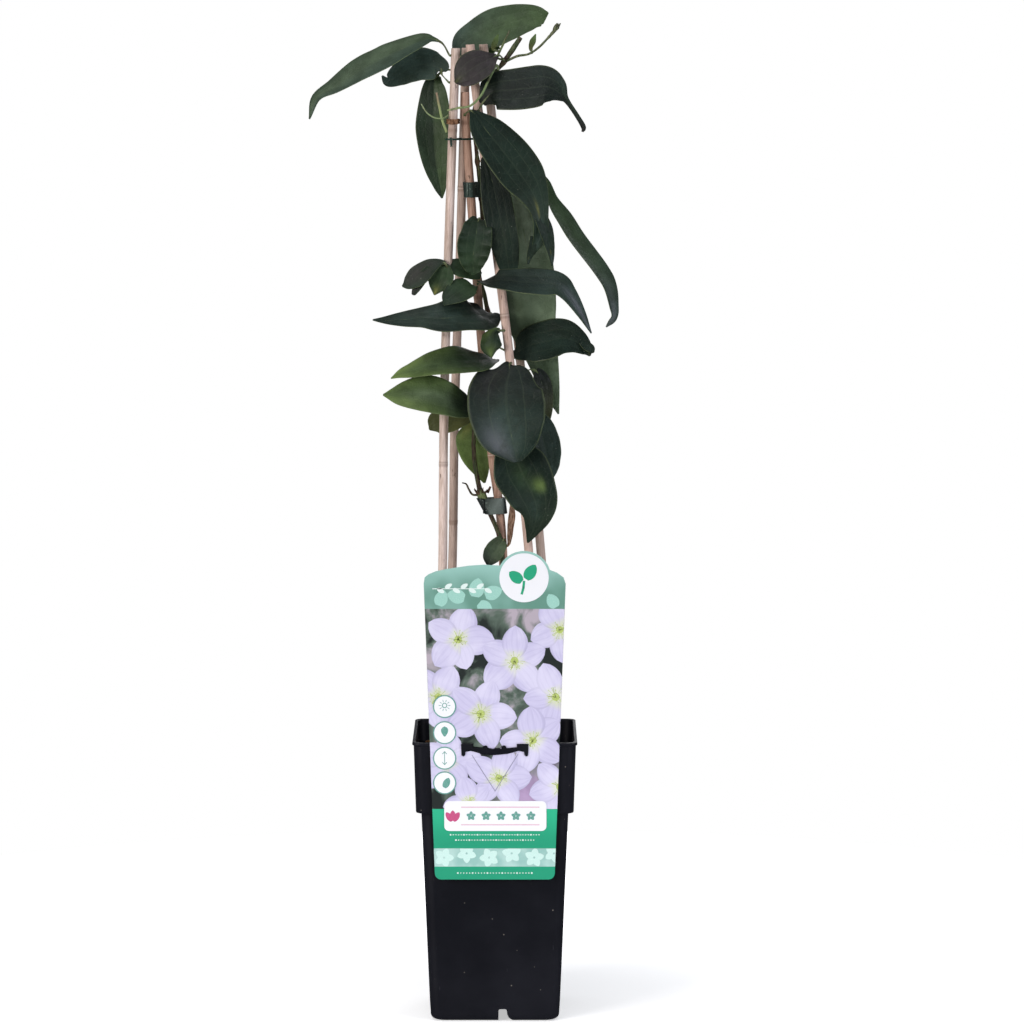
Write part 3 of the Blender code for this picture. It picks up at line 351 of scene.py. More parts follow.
        tint=("straw", "straw"), wave=(0.15, 3, 0),
        blade=((10.2, -2.5, 340, 1.5), (10.8, -3.2, 348, 2.4), (12, -3.8, 360, 2.6),
            (12.2, -3.6, 372, 0.6))),
}

tints = {  # leaf colours as they look in soft light, with painted sheen and light among them
    # the slate and ash tints are the painted bluish-grey sheen of the glossy skin (ash on leaf_11 is partly
    # its paler underside); sage is a painted lit patch and mist a painted pool of light
    "ink": "#0f1b17", "deep": "#15271f", "dark": "#1e3022", "mid": "#2d4228", "fresh": "#465b36",
    "young": "#607945", "yellow": "#8a8a46", "olive": "#565a31", "slateSheen": "#384a43", "plum": "#362f33",
    "under": "#4b5d44", "pale": "#62735a", "lime": "#738a4a", "straw": "#b89b72", "sageLit": "#83967a",
    "ashSheen": "#6b6e76", "mist": "#a3b39b",
}
blade = {
    "across": 22, "along": 7,  # faces across a blade, and between two stations
    "middle": 0.42, "margin": 0.2,  # thickness in millimetres
    "stalk": 0.9, "ribEnd": 0.25,  # radius of the stalk, and of the rib at the tip
    "groove": 0.2, "sideVein": 0.46, "sideGroove": 0.14,  # depth in millimetres, place across
    "puff": 0.22, "ragged": 0.03, "ribSunk": 0.06,
    "veins": {"middle": 0.16, "sideVein": 0.2, "branches": 0.09, "net": 0.04},  # strength on the upper face
    "veinsUnder": {"middle": 0.6, "sideVein": 0.4, "net": 0.14},
}
seatGap = 0.3  # between a stalk and the skin of what carries it

# shapes shared by several pieces


def colour(code):  # a screen colour as the linear one that shaders use
    parts = [int(code[i:i + 2], 16) / 255 for i in (1, 3, 5)]
    return (*(p / 12.92 if p <= 0.04045 else ((p + 0.055) / 1.055) ** 2.4 for p in parts), 1.0)


def smooth(low, high, value):
    share = min(1.0, max(0.0, (value - low) / (high - low)))
    return share * share * (3 - 2 * share)


def blend(first, second, share):
    return tuple(a + (b - a) * share for a, b in zip(first, second))


def bulge(gap, reach):
    return math.exp(-(gap / reach) ** 2)


def shares(steps):  # 0 to 1 in equal steps
    return [k / steps for k in range(steps + 1)]


def spline(points, steps):  # a smooth curve through points of any dimension
    rows = [tuple(float(v) for v in p) for p in points]
    rows = [tuple(2 * a - b for a, b in zip(rows[0], rows[1]))] + rows
    rows.append(tuple(2 * a - b for a, b in zip(rows[-1], rows[-2])))
    out = []
    for i in range(1, len(rows) - 2):
        p0, p1, p2, p3 = rows[i - 1:i + 3]
        last = i == len(rows) - 3
        for k in range(steps + last):
            t = k / steps
            out.append(tuple(
                0.5 * (2 * b + (c - a) * t + (2 * a - 5 * b + 4 * c - d) * t * t
                       + (3 * b - a - 3 * c + d) * t ** 3)
                for a, b, c, d in zip(p0, p1, p2, p3)))
    return out


def tangentsOf(centres):
    last = len(centres) - 1
    return [(centres[min(i + 1, last)] - centres[max(i - 1, 0)]).normalized() for i in range(last + 1)]


def axisOf(name, steps=3):  # x, y, z, radius along a cane, the stem or a shoot
    if name in canes:
        return spline([(*p, canes[name]["radius"]) for p in canes[name]["points"]], steps)
    if name == "main_stem":
        return spline(stem["points"], steps)
    first = shoots[name]["points"][0]
    return spline([seat(shoots[name]["root"], first[3], first), *shoots[name]["points"]], steps)


def supportAt(name, height):
    rows = axisOf(name)
    for low, high in zip(rows, rows[1:]):
        if min(low[2], high[2]) <= height <= max(low[2], high[2]):
            return blend(low, high, (height - low[2]) / (high[2] - low[2] or 1.0))
    return min(rows, key=lambda row: abs(row[2] - height))


def seat(root, radius, toward):  # where a stalk starts, on the skin of what carries it
    name, height, degrees = root
    x, y, z, thick = supportAt(name, height)
    turn = math.radians(degrees)
    outward = Vector((math.cos(turn), math.sin(turn), 0))
    leaving = (Vector(toward[:3]) - Vector((x, y, z)) - outward * (thick + radius)).normalized()
    edgeOn = math.sqrt(max(0.0, 1 - leaving.dot(outward) ** 2))
    spot = Vector((x, y, z)) + outward * (thick + seatGap + radius * edgeOn)
    return (*spot, radius)


def newMesh():  # a bmesh in millimetres with the layers that the shapes write
    bm = bmesh.new()
    bm.verts.layers.int.new("spot")
    bm.verts.layers.float.new("mark")
    bm.verts.layers.float_color.new("skin")
    bm.loops.layers.uv.new("UVMap")
    return bm


def vertsIn(geometry):
    return [g for g in geometry if isinstance(g, bmesh.types.BMVert)]


def nextRing(bm, edges):  # a ring of edges extruded once: the new points and the edges between them
    ring = vertsIn(bmesh.ops.extrude_edge_only(bm, edges=edges)["geom"])
    members = set(ring)
    return ring, list({e for v in ring for e in v.link_edges if e.other_vert(v) in members})


def ringStack(bm, sides, count, place, wrap=False, mark=None, material=0):
    # a ring of points extruded again and again; place(i, k) is where point k of ring i goes
    spot, shade = bm.verts.layers.int["spot"], bm.verts.layers.float["mark"]
    before = set(bm.faces)
    ring = bmesh.ops.create_circle(bm, cap_ends=not wrap, segments=sides, radius=1.0)["verts"]
    for k, vert in enumerate(ring):
        vert[spot] = k
    edges = firstEdges = list({e for v in ring for e in v.link_edges})
    for i in range(count):
        if i:
            ring, edges = nextRing(bm, edges)
        for vert in ring:
            vert.co = place(i, vert[spot])
            vert[shade] = mark(i) if mark else 0.0
    if wrap:
        bmesh.ops.bridge_loops(bm, edges=firstEdges + edges)
    else:
        bmesh.ops.edgeloop_fill(bm, edges=edges)
    faces = [f for f in bm.faces if f not in before]
    bmesh.ops.recalc_face_normals(bm, faces=faces)
    for face in faces:
        face.material_index = material
        face.smooth = True
    return faces


def sweep(bm, rows, sides, mark=None, material=0, ridge=None):
    # a rod along rows of x, y, z, radius; ridge(i, angle) is a share added to the radius
    centres = [Vector(r[:3]) for r in rows]
    along = tangentsOf(centres)
    frames, across = [], along[0].orthogonal().normalized()
    for tangent in along:
        across = (across - tangent * across.dot(tangent)).normalized()
        frames.append((across.copy(), tangent.cross(across)))

    def place(i, k):
        angle = 2 * math.pi * k / sides
        radius = rows[i][3] * (1 + (ridge(i, angle) if ridge else 0.0))
        first, second = frames[i]
        return centres[i] + radius * (math.cos(angle) * first + math.sin(angle) * second)

    return ringStack(bm, sides, len(rows), place, mark=mark, material=material)


def evaluated(obj):  # the mesh of an object with its modifiers applied; the object goes
    mesh = bpy.data.meshes.new_from_object(obj.evaluated_get(bpy.context.evaluated_depsgraph_get()))
    bpy.data.objects.remove(obj, do_unlink=True)
    return mesh


def rawObject(name, bm):
    mesh = bpy.data.meshes.new(name)
    bm.to_mesh(mesh)
    bm.free()
    obj = bpy.data.objects.new(name, mesh)
    bpy.context.scene.collection.objects.link(obj)
    return obj


def pour(bm, other):  # adds the mesh of another bmesh
    mesh = bpy.data.meshes.new("poured")
    other.to_mesh(mesh)
    other.free()
    bm.from_mesh(mesh)
    bpy.data.meshes.remove(mesh)


def carve(bm, cutters):  # cuts shapes out of a mesh, both in millimetres
    body = rawObject("carved", bm)
    others = [rawObject("cutter", cutter) for cutter in cutters]
    for other in others:
        cut = body.modifiers.new("cut", "BOOLEAN")
        cut.operation, cut.solver, cut.object = "DIFFERENCE", "EXACT", other
        other.hide_render = True
    bpy.context.view_layer.update()
    mesh = evaluated(body)
    for other in others:
        bpy.data.objects.remove(other, do_unlink=True)
    made = bmesh.new()
    made.from_mesh(mesh)
    bpy.data.meshes.remove(mesh)
    return made


def piece(name, bm, materials, nodes, sharp=None):
    # a finished piece: millimetres to metres, its finishes, and what it rides on and stands for
    bmesh.ops.scale(bm, vec=(mm, mm, mm), verts=bm.verts)
    obj = rawObject(name, bm)
    if sharp:
        obj.data.shade_smooth()
        obj.data.set_sharp_from_angle(angle=math.radians(sharp))
    for material in materials:
        obj.data.materials.append(material)
    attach(obj, "root")
    if nodes:
        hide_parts(*nodes)


# finishes


class Finish:  # a material with a few short ways to wire its nodes
    def __init__(self, name, roughness=0.5, specular=0.5):
        self.material = bpy.data.materials.new(name)
        self.material.use_nodes = True
        self.tree = self.material.node_tree
        self.shader = self.tree.nodes["Principled BSDF"]
        self.shader.inputs["Roughness"].default_value = roughness
        self.shader.inputs["Specular IOR Level"].default_value = specular
        self.place = self.node("ShaderNodeTexCoord")

    def node(self, kind, **values):
        made = self.tree.nodes.new(kind)
        for key, value in values.items():
            setattr(made, key, value)
        return made

    def feed(self, socket, value):
        if isinstance(value, bpy.types.NodeSocket):
            self.tree.links.new(value, socket)
        elif value is not None:
            socket.default_value = colour(value) if isinstance(value, str) else value

    def split(self, source):  # the three numbers of a kind of coordinates
        made = self.node("ShaderNodeSeparateXYZ")
        self.feed(made.inputs[0], self.place.outputs[source])
        return made.outputs

    def stretched(self, scale, source="Object"):
        made = self.node("ShaderNodeMapping")
        self.feed(made.inputs["Vector"], self.place.outputs[source])
        made.inputs["Scale"].default_value = scale
        return made.outputs["Vector"]

    def noise(self, scale, detail=3.0, rough=0.5, vector=None, distortion=0.0):
        made = self.node("ShaderNodeTexNoise")
        self.feed(made.inputs["Vector"], vector or self.place.outputs["Object"])
        for key, value in (("Scale", scale), ("Detail", detail), ("Roughness", rough),
                           ("Distortion", distortion)):
            made.inputs[key].default_value = value
        return made.outputs["Fac"]

    def streaks(self, detail, rough, scale):  # noise drawn out along one way
        return self.noise(1.0, detail, rough, self.stretched(scale))

    def cells(self, scale, feature="DISTANCE_TO_EDGE", vector=None):
        made = self.node("ShaderNodeTexVoronoi", feature=feature)
        self.feed(made.inputs["Vector"], vector or self.place.outputs["Object"])
        made.inputs["Scale"].default_value = scale
        return made.outputs["Distance"]

    def math(self, operation, first, second=None, third=None):
        made = self.node("ShaderNodeMath", operation=operation)
        for socket, value in zip(made.inputs, (first, second, third)):
            self.feed(socket, value)
        return made.outputs[0]

    def times(self, first, second):
        return self.math("MULTIPLY", first, second)

    def fromMiddle(self, value):  # 0 at 0.5, and 1 at 0 and 1
        return self.times(self.math("ABSOLUTE", self.math("SUBTRACT", value, 0.5)), 2.0)

    def fade(self, value, low, high, toLow=0.0, toHigh=1.0):  # a soft step between two values
        made = self.node("ShaderNodeMapRange", interpolation_type="SMOOTHSTEP")
        for key, put in (("Value", value), ("From Min", low), ("From Max", high),
                         ("To Min", toLow), ("To Max", toHigh)):
            self.feed(made.inputs[key], put)
        return made.outputs["Result"]

    def band(self, value, low, high, soft):  # 1 between two values
        return self.times(self.fade(value, low - soft, low + soft),
                          self.fade(value, high - soft, high + soft, 1.0, 0.0))

    def mix(self, share, first, second, how="MIX"):
        made = self.node("ShaderNodeMix", data_type="RGBA", blend_type=how)
        for index, value in ((0, share), (6, first), (7, second)):
            self.feed(made.inputs[index], value)
        return made.outputs[2]

    def tone(self, base, value, low, high, shade, share=1.0):  # another colour where a value is high
        return self.mix(self.fade(value, low, high, 0.0, share), base, shade)

    def ramp(self, value, stops):
        made = self.node("ShaderNodeValToRGB")
        self.feed(made.inputs["Fac"], value)
        line = made.color_ramp.elements
        while len(line) < len(stops):
            line.new(0.5)
        for element, (place, shade) in zip(line, stops):
            element.position = place
            element.color = colour(shade)
        return made.outputs["Color"]

    def attribute(self, name, output="Color"):
        return self.node("ShaderNodeAttribute", attribute_name=name).outputs[output]

    def done(self, base, roughness=None, height=None, depth=0.0002, strength=0.5):
        self.feed(self.shader.inputs["Base Color"], base)
        self.feed(self.shader.inputs["Roughness"], roughness)
        if height is not None:
            relief = self.node("ShaderNodeBump")
            for key, value in (("Strength", strength), ("Distance", depth), ("Height", height)):
                self.feed(relief.inputs[key], value)
            self.feed(self.shader.inputs["Normal"], relief.outputs["Normal"])
        return self.material


def leafVeins(skin):  # masks from the map of the blade: 0 to 1 across, 0 to 1 along
    across = skin.fromMiddle(skin.split("UV")[0])
    middle = skin.fade(across, 0.02, 0.055, 1.0, 0.0)
    beside = skin.math("ABSOLUTE", skin.math("SUBTRACT", across, skin.math(
        "MULTIPLY_ADD", skin.noise(90, 2), 0.06, blade["sideVein"] - 0.03)))
    sideVein = skin.fade(beside, 0.008, 0.03, 1.0, 0.0)
    # branches run out from the rib at a slant and join in a fine net
    branches = skin.fade(skin.cells(1.0, vector=skin.stretched((7.0, 26.0, 1.0), "UV")), 0.01, 0.07, 1.0, 0.0)
    net = skin.fade(skin.cells(420), 0.02, 0.16, 1.0, 0.0)
    return {"middle": middle, "sideVein": sideVein, "branches": branches, "net": net,
            "margin": skin.fade(across, 0.93, 0.985)}


def veinShare(skin, masks, shares):  # the strongest of several masks, each with its own strength
    share = 0.0
    for name, strength in shares.items():
        share = skin.math("MAXIMUM", share, skin.times(masks[name], strength))
    return share


def makeLeafSkin():
    skin = Finish("leafSkin", 0.4, 0.24)
    masks, base = leafVeins(skin), skin.attribute("skin")
    darker = skin.mix(1.0, base, "#8f9a86", "MULTIPLY")
    base = skin.tone(base, skin.noise(75, 5, 0.6), 0.38, 0.62, darker, 0.5)
    base = skin.tone(base, skin.noise(22, 3, 0.55), 0.45, 0.7, "#46543f", 0.12)
    share = veinShare(skin, masks, blade["veins"])
    base = skin.mix(share, base, skin.mix(0.5, base, "#66755a"))
    base = skin.mix(skin.times(masks["margin"], 0.3), base, "#75825a")
    speck = skin.times(skin.fade(skin.cells(330, "F1"), 0.07, 0.13, 1.0, 0.0),
                       skin.fade(skin.noise(45, 2), 0.56, 0.66))
    base = skin.mix(skin.times(speck, 0.25), base, "#b9bfae")
    roughness = skin.fade(skin.noise(140, 4, 0.6), 0.3, 0.7, 0.42, 0.58)
    height = skin.math("MULTIPLY_ADD", skin.noise(260, 4, 0.55), 0.5, skin.math(
        "ADD", skin.times(masks["branches"], -0.55), skin.times(masks["net"], -0.15)))
    return skin.done(base, roughness, height, 0.0003, 0.55)


def makeLeafUnder():
    skin = Finish("leafUnder", 0.62, 0.25)
    masks = leafVeins(skin)
    base = skin.mix(0.5, skin.attribute("skin"), "#6e7c62")
    base = skin.tone(base, skin.noise(60, 4), 0.4, 0.65, "#5b6a52", 0.4)
    base = skin.mix(veinShare(skin, masks, blade["veinsUnder"]), base, "#93a07c")
    height = skin.math("ADD", skin.times(masks["net"], 0.6), skin.times(masks["branches"], 0.8))
    return skin.done(base, skin.fade(skin.noise(150, 3), 0.3, 0.7, 0.52, 0.7), height, 0.0003, 0.5)


def makeLeafEdge():
    skin = Finish("leafEdge", 0.55, 0.3)
    base = skin.tone("#7e8c5c", skin.noise(120, 3), 0.4, 0.62, "#59663f")
    return skin.done(base, None, skin.noise(500, 3), 0.0001, 0.4)


def makeGreenWood(name, green, end):  # shoots and stalks, towards "end" at mark 1
    skin = Finish(name, 0.5, 0.3)
    lines = skin.streaks(3, 0.6, (900, 900, 120))
    base = skin.mix(skin.attribute("mark", "Fac"), green, end)
    base = skin.tone(base, lines, 0.4, 0.65, skin.mix(0.5, base, "#b3b48a"), 0.55)
    base = skin.tone(base, skin.noise(160, 4), 0.55, 0.68, "#3a2a20", 0.6)
    return skin.done(base, None, lines, 0.0003, 0.6)


def makeDryPaper(name, pale, deep):
    skin = Finish(name, 0.85, 0.15)
    lines = skin.streaks(4, 0.65, (1200, 1200, 160))
    base = skin.tone(deep, lines, 0.38, 0.62, pale)
    base = skin.tone(base, skin.noise(180, 4), 0.52, 0.7, "#4a3527", 0.7)
    return skin.done(base, None, lines, 0.0004, 0.8)


def makeBamboo(name, pale, deep):
    skin = Finish(name, 0.5, 0.28)
    streak = skin.streaks(5, 0.6, (1500, 1500, 34))
    broad = skin.streaks(3, 0.55, (260, 260, 18))
    base = skin.tone(pale, streak, 0.34, 0.66, skin.mix(0.55, pale, deep))
    base = skin.tone(base, broad, 0.46, 0.7, deep, 0.75)
    fleck = skin.times(skin.fade(skin.streaks(2, 0.5, (700, 700, 160)), 0.66, 0.72),
                       skin.fade(skin.noise(30, 2), 0.45, 0.6))
    base = skin.mix(skin.times(fleck, 0.75), base, "#5a4438")
    # the joints are a dark scar under a pale waxy ring
    joint = skin.attribute("mark", "Fac")
    base = skin.tone(base, joint, 0.15, 0.7, "#6b4c3b", 0.4)
    base = skin.tone(base, joint, 0.75, 0.98, "#e6d9cb", 0.45)
    roughness = skin.fade(broad, 0.35, 0.7, 0.42, 0.62)
    return skin.done(base, roughness, skin.math("ADD", streak, skin.times(fleck, -0.6)), 0.0003, 0.5)


def makeCutEnd(name, pale, deep):
    skin = Finish(name, 0.9, 0.1)
    pores = skin.fade(skin.cells(1300, "F1"), 0.12, 0.3, 1.0, 0.0)
    base = skin.tone(pale, skin.noise(420, 3), 0.4, 0.65, deep)
    base = skin.mix(skin.times(pores, 0.7), base, "#4f3b2e")
    return skin.done(base, None, pores, 0.0004, 0.6)


def makeBark():
    skin = Finish("vineBark", 0.6, 0.3)
    lines = skin.streaks(5, 0.65, (1100, 1100, 90))
    patch = skin.streaks(4, 0.6, (150, 150, 45))
    base = skin.tone(stem["green"], patch, 0.46, 0.58, stem["brown"])
    base = skin.tone(base, lines, 0.45, 0.7, "#7b7f5a", 0.6)
    base = skin.mix(skin.fade(lines, 0.2, 0.4, 0.7, 0.0), base, "#1d1712")
    base = skin.tone(base, skin.attribute("mark", "Fac"), 0.2, 0.9, "#5d4334", 0.55)
    return skin.done(base, skin.fade(patch, 0.4, 0.6, 0.5, 0.75), lines, 0.0006, 0.8)


def makePotPlastic():
    skin = Finish("potPlastic", 0.42, 0.22)
    cloud = skin.noise(14, 4, 0.6)
    base = skin.tone(pot["deep"], cloud, 0.35, 0.7, pot["sheen"])
    scratch = skin.times(skin.fade(skin.streaks(4, 0.6, (1400, 1400, 60)), 0.68, 0.72),
                         skin.fade(skin.noise(35, 2), 0.5, 0.62))
    base = skin.mix(skin.times(scratch, 0.35), base, "#4a4b52")
    grit = skin.times(skin.fade(skin.cells(150, "F1"), 0.05, 0.085, 1.0, 0.0),
                      skin.fade(skin.noise(26, 2), 0.5, 0.58))
    base = skin.mix(skin.times(grit, 0.55), base, pot["dust"])
    height = skin.math("ADD", skin.noise(900, 3, 0.6), skin.times(scratch, -2.0))
    return skin.done(base, skin.fade(cloud, 0.3, 0.7, 0.36, 0.5), height, 0.00008, 0.35)


def makeSoilSkin(name, deep, pale):
    skin = Finish(name, 0.95, 0.1)
    grain = skin.noise(420, 6, 0.7)
    base = skin.tone(deep, grain, 0.35, 0.65, pale)
    base = skin.mix(skin.fade(skin.cells(300, "F1"), 0.1, 0.16, 0.8, 0.0), base, "#7a6148")
    return skin.done(base, None, grain, 0.0012, 1.0)


def makePlastic(name, deep, pale, front):  # ties: moulded, scuffed, and paler at mark 1, a painted highlight down a clip's front
    skin = Finish(name, 0.42, 0.35)
    wear = skin.streaks(4, 0.6, (700, 700, 140))
    base = skin.tone(deep, wear, 0.42, 0.7, pale)
    base = skin.mix(skin.attribute("mark", "Fac"), base, skin.mix(0.35, base, front))
    base = skin.tone(base, skin.noise(900, 2), 0.62, 0.7, "#9fb0a6", 0.4)
    return skin.done(base, None, wear, 0.0002, 0.5)


def onPaper(skin, base):  # the card's fine grain over what is printed on it
    grain = skin.noise(1500, 3, 0.6)
    return skin.done(base, skin.fade(grain, 0.3, 0.7, 0.34, 0.44), grain, 0.00003, 0.3)


def makePrint(name, shade, speckle="#ffffff", share=0.12):  # ink on the card, with a trace of its grain
    skin = Finish(name, 0.38, 0.35)
    return onPaper(skin, skin.tone(shade, skin.noise(1500, 3, 0.6), 0.45, 0.7, speckle, share))


print("finishes ready")

# pot

pot = {
    "height": 203.0, "baseHalf": 46.0, "foot": 5.0, "bodyTopHalf": 52.3,
    "collarBottom": 151.7, "collarBottomHalf": 56.1, "collarTopHalf": 57.7,
    "lipHalf": 58.5, "lipHeight": 2.6, "lipCorner": 0.7, "wall": 1.4, "floorTop": 11.5,
    "cornerRadius": 7.0, "cornerSteps": 10, "channel": (2.5, 8.5), "channelHeight": 8.8, "flare": 4.2,
    "drain": 4.0, "drainOffset": 26.0,
    "deep": "#111219", "sheen": "#181921", "dust": "#8d877d",
    "lug": ((0.0, 194.2), (9.0, 195.0), (17.0, 197.2), (20.3, 196.6), (20.6, 194.3), (22.3, 193.1),
            (24.0, 194.3), (24.3, 203.0), (15.2, 203.0), (15.2, 200.6), (8.7, 200.0), (8.1, 201.4),
            (6.5, 202.1), (4.9, 201.4), (4.4, 199.6)),
    "lugInset": 0.5, "lugFront": -60.2, "lugBack": -57.0,
    "lipUnderRound": 0.6, "lipRound": 0.7, "collarRound": 0.9,
}


def roundedSquare(half):
    radius, steps, ring = pot["cornerRadius"], pot["cornerSteps"], []
    for corner, (sx, sy) in enumerate(((1, 1), (-1, 1), (-1, -1), (1, -1))):
        for k in range(steps + 1):
            a = math.radians(90 * (corner + k / steps))
            ring.append((sx * (half - radius) + radius * math.cos(a),
                         sy * (half - radius) + radius * math.sin(a), k / steps))
    return ring


def innerHalf(z):  # half the width between the inner walls
    low, wall, base, under = pot["collarBottom"], pot["wall"], pot["baseHalf"], pot["collarBottomHalf"]
    if z >= low + wall:
        return under + (z - low) / (pot["height"] - low) * (pot["collarTopHalf"] - under) - wall
    return base + z / low * (pot["bodyTopHalf"] - base) - wall


def plateFrom(outline, yFront, yBack):  # a closed plate with an outline of (x, z)
    bm = newMesh()
    verts = [bm.verts.new((x, yFront, z)) for x, z in outline]
    loop = [bm.edges.new(pair) for pair in zip(verts, verts[1:] + verts[:1])]
    face = bmesh.ops.edgeloop_fill(bm, edges=loop)["faces"][0]
    made = bmesh.ops.extrude_face_region(bm, geom=[face])["geom"]
    bmesh.ops.translate(bm, vec=(0, yBack - yFront, 0), verts=vertsIn(made))
    bmesh.ops.recalc_face_normals(bm, faces=bm.faces)
    return bm


def quarter(radius, steps):  # sine and cosine parts of a quarter turn
    for k in range(steps + 1):
        a = math.pi / 2 * k / steps
        yield radius * math.sin(a), radius * math.cos(a)


def potProfile():  # half widths and heights from the foot up, over the lip and down inside
    top, bottom, foot = pot["height"], pot["collarBottom"], pot["foot"]
    half, body = pot["baseHalf"], pot["bodyTopHalf"]
    under, collar = pot["collarBottomHalf"], pot["collarTopHalf"]
    lip, lipHalf, step = top - pot["lipHeight"], pot["lipHalf"], bottom + pot["wall"]
    round1, round2, edge = pot["lipUnderRound"], pot["lipRound"], pot["collarRound"]
    outside = [
        *((half - foot + s, foot - c) for s, c in quarter(foot, 7)),
        (half + 0.1 * (body - half), 0.1 * bottom), (body, bottom - 0.6),
        (body + 0.4, bottom), (under - edge, bottom), (under - 0.25, bottom + 0.25), (under, bottom + edge),
        (collar - 0.1, lip - 0.2), (collar, lip + 0.25)]
    bead = [
        *((lipHalf - round1 + s, lip + 0.9 - c) for s, c in quarter(round1, 4)),
        *((lipHalf - round2 + c, top - round2 + s) for s, c in quarter(round2, 4))]
    inside = [
        (innerHalf(top) + 0.3, top), (innerHalf(top), top - 0.4), (innerHalf(step), step),
        (innerHalf(step - 0.01), step - 0.01), (innerHalf(pot["floorTop"]), pot["floorTop"])]
    return outside + bead + inside, range(len(outside) - 1, len(outside) + len(bead) - 1)


def makePot():
    profile, beadRings = potProfile()
    rings = [roundedSquare(h) for h, _ in profile]

    def place(i, k):
        x, y, turn = rings[i][k]
        if i in beadRings:  # the bead swells a little at each corner
            swell = pot["lipCorner"] * math.sin(math.pi * turn) * 0.7
            x, y = x + math.copysign(swell, x), y + math.copysign(swell, y)
        return Vector((x, y, profile[i][1]))

    bm = newMesh()
    ringStack(bm, len(rings[0]), len(profile), place)
    low, high = pot["channel"]
    tall, flare, deep, far = pot["channelHeight"], pot["flare"], -5, 80
    outline = [(low, deep), (low, tall - 1.2), (low + 0.4, tall - 0.4), (low + 1.2, tall), (high - 1.2, tall),
               (high - 0.4, tall - 0.4), (high, tall - 1.2), (high + 0.3, 5.0), (high + 1.4, 2.6),
               (high + flare, 0.0), (high + flare, deep)]
    cutters = [plateFrom(outline, -far, far), plateFrom(outline, -far, far)]
    bmesh.ops.rotate(cutters[1], cent=(0, 0, 0), matrix=Matrix.Rotation(math.radians(90), 3, "Z"),
                     verts=cutters[1].verts)
    for sx in (-1, 1):
        for sy in (-1, 1):
            hole = newMesh()
            bmesh.ops.create_cone(hole, cap_ends=True, segments=28, radius1=pot["drain"],
                                  radius2=pot["drain"], depth=40)
            bmesh.ops.translate(hole, vec=(sx * pot["drainOffset"], sy * pot["drainOffset"], 5),
                                verts=hole.verts)
            cutters.append(hole)
    bm = carve(bm, cutters)
    # the lug in the card's slot: the slot's outline drawn in
    right, front, back = pot["lug"], pot["lugFront"], pot["lugBack"]
    slot = plateFrom([*right, *((-x, z) for x, z in reversed(right[1:]))], front, back)
    face = min(slot.faces, key=lambda f: f.calc_center_median().y)
    bmesh.ops.inset_region(slot, faces=[face], thickness=pot["lugInset"])
    pour(bm, plateFrom([(v.co.x, v.co.z) for v in face.verts], front, back))
    slot.free()
    piece("pot_shell", bm, [makePotPlastic()], ["pot"], sharp=32)


makePot()
print("pot made")

# soil

soil = {
    "edge": 185.0, "rise": 5.0, "faces": 72, "rough": 1.5, "crumbs": 620, "chips": 70, "seed": 7,
    "gap": 0.35, "paleShare": 0.05,  # to the pot's wall, and of pale grains among the crumbs
    "deep": "#1b120c", "pale": "#3d2a1d", "bark": "#5a3d2a", "barkPale": "#8a6546", "perlite": "#cfc8ba",
}


def soilHeight(x, y):
    inward = 1 - max(abs(x), abs(y)) / innerHalf(soil["edge"])
    bumps = (noise.noise(Vector((x * 0.09, y * 0.09, 3.1)))
             + 0.6 * noise.noise(Vector((x * 0.3, y * 0.3, 8.2))))
    return (soil["edge"] + soil["rise"] * smooth(0.0, 0.55, inward)
            + soil["rough"] * bumps * smooth(0, 0.06, inward))


def inCorner(x, y, half):  # draws the corners of a square of half width 1 in to the pot's round ones
    x, y, core = x * half, y * half, half - pot["cornerRadius"]
    ox, oy = max(0.0, abs(x) - core), max(0.0, abs(y) - core)
    if ox and oy:
        pull = max(ox, oy) / math.hypot(ox, oy)
        x, y = math.copysign(core + ox * pull, x), math.copysign(core + oy * pull, y)
    return x, y


def makeSoilBed():
    bm = newMesh()
    bmesh.ops.create_grid(bm, x_segments=soil["faces"], y_segments=soil["faces"], size=1.0)
    top = bm.verts[:]
    edges = [e for e in bm.edges if e.is_boundary]
    step = pot["collarBottom"] + pot["wall"]
    walls = []
    for z in (step + 0.5, step - 0.2, pot["floorTop"] + 0.3):
        ring, edges = nextRing(bm, edges)
        walls.append((ring, z))
        for vert in ring:
            vert.co.z = z
    bmesh.ops.edgeloop_fill(bm, edges=edges)
    for vert in top:
        x, y = inCorner(vert.co.x, vert.co.y, innerHalf(soil["edge"]) - soil["gap"])
        vert.co = (x, y, soilHeight(x, y))
    for ring, z in walls:
        for vert in ring:
            vert.co = (*inCorner(vert.co.x, vert.co.y, innerHalf(z) - soil["gap"]), z)
    bmesh.ops.recalc_face_normals(bm, faces=bm.faces)
    for face in bm.faces:
        face.smooth = True
    piece("soil_bed", bm, [makeSoilSkin("pottingSoil", soil["deep"], soil["pale"])], ["soil"])


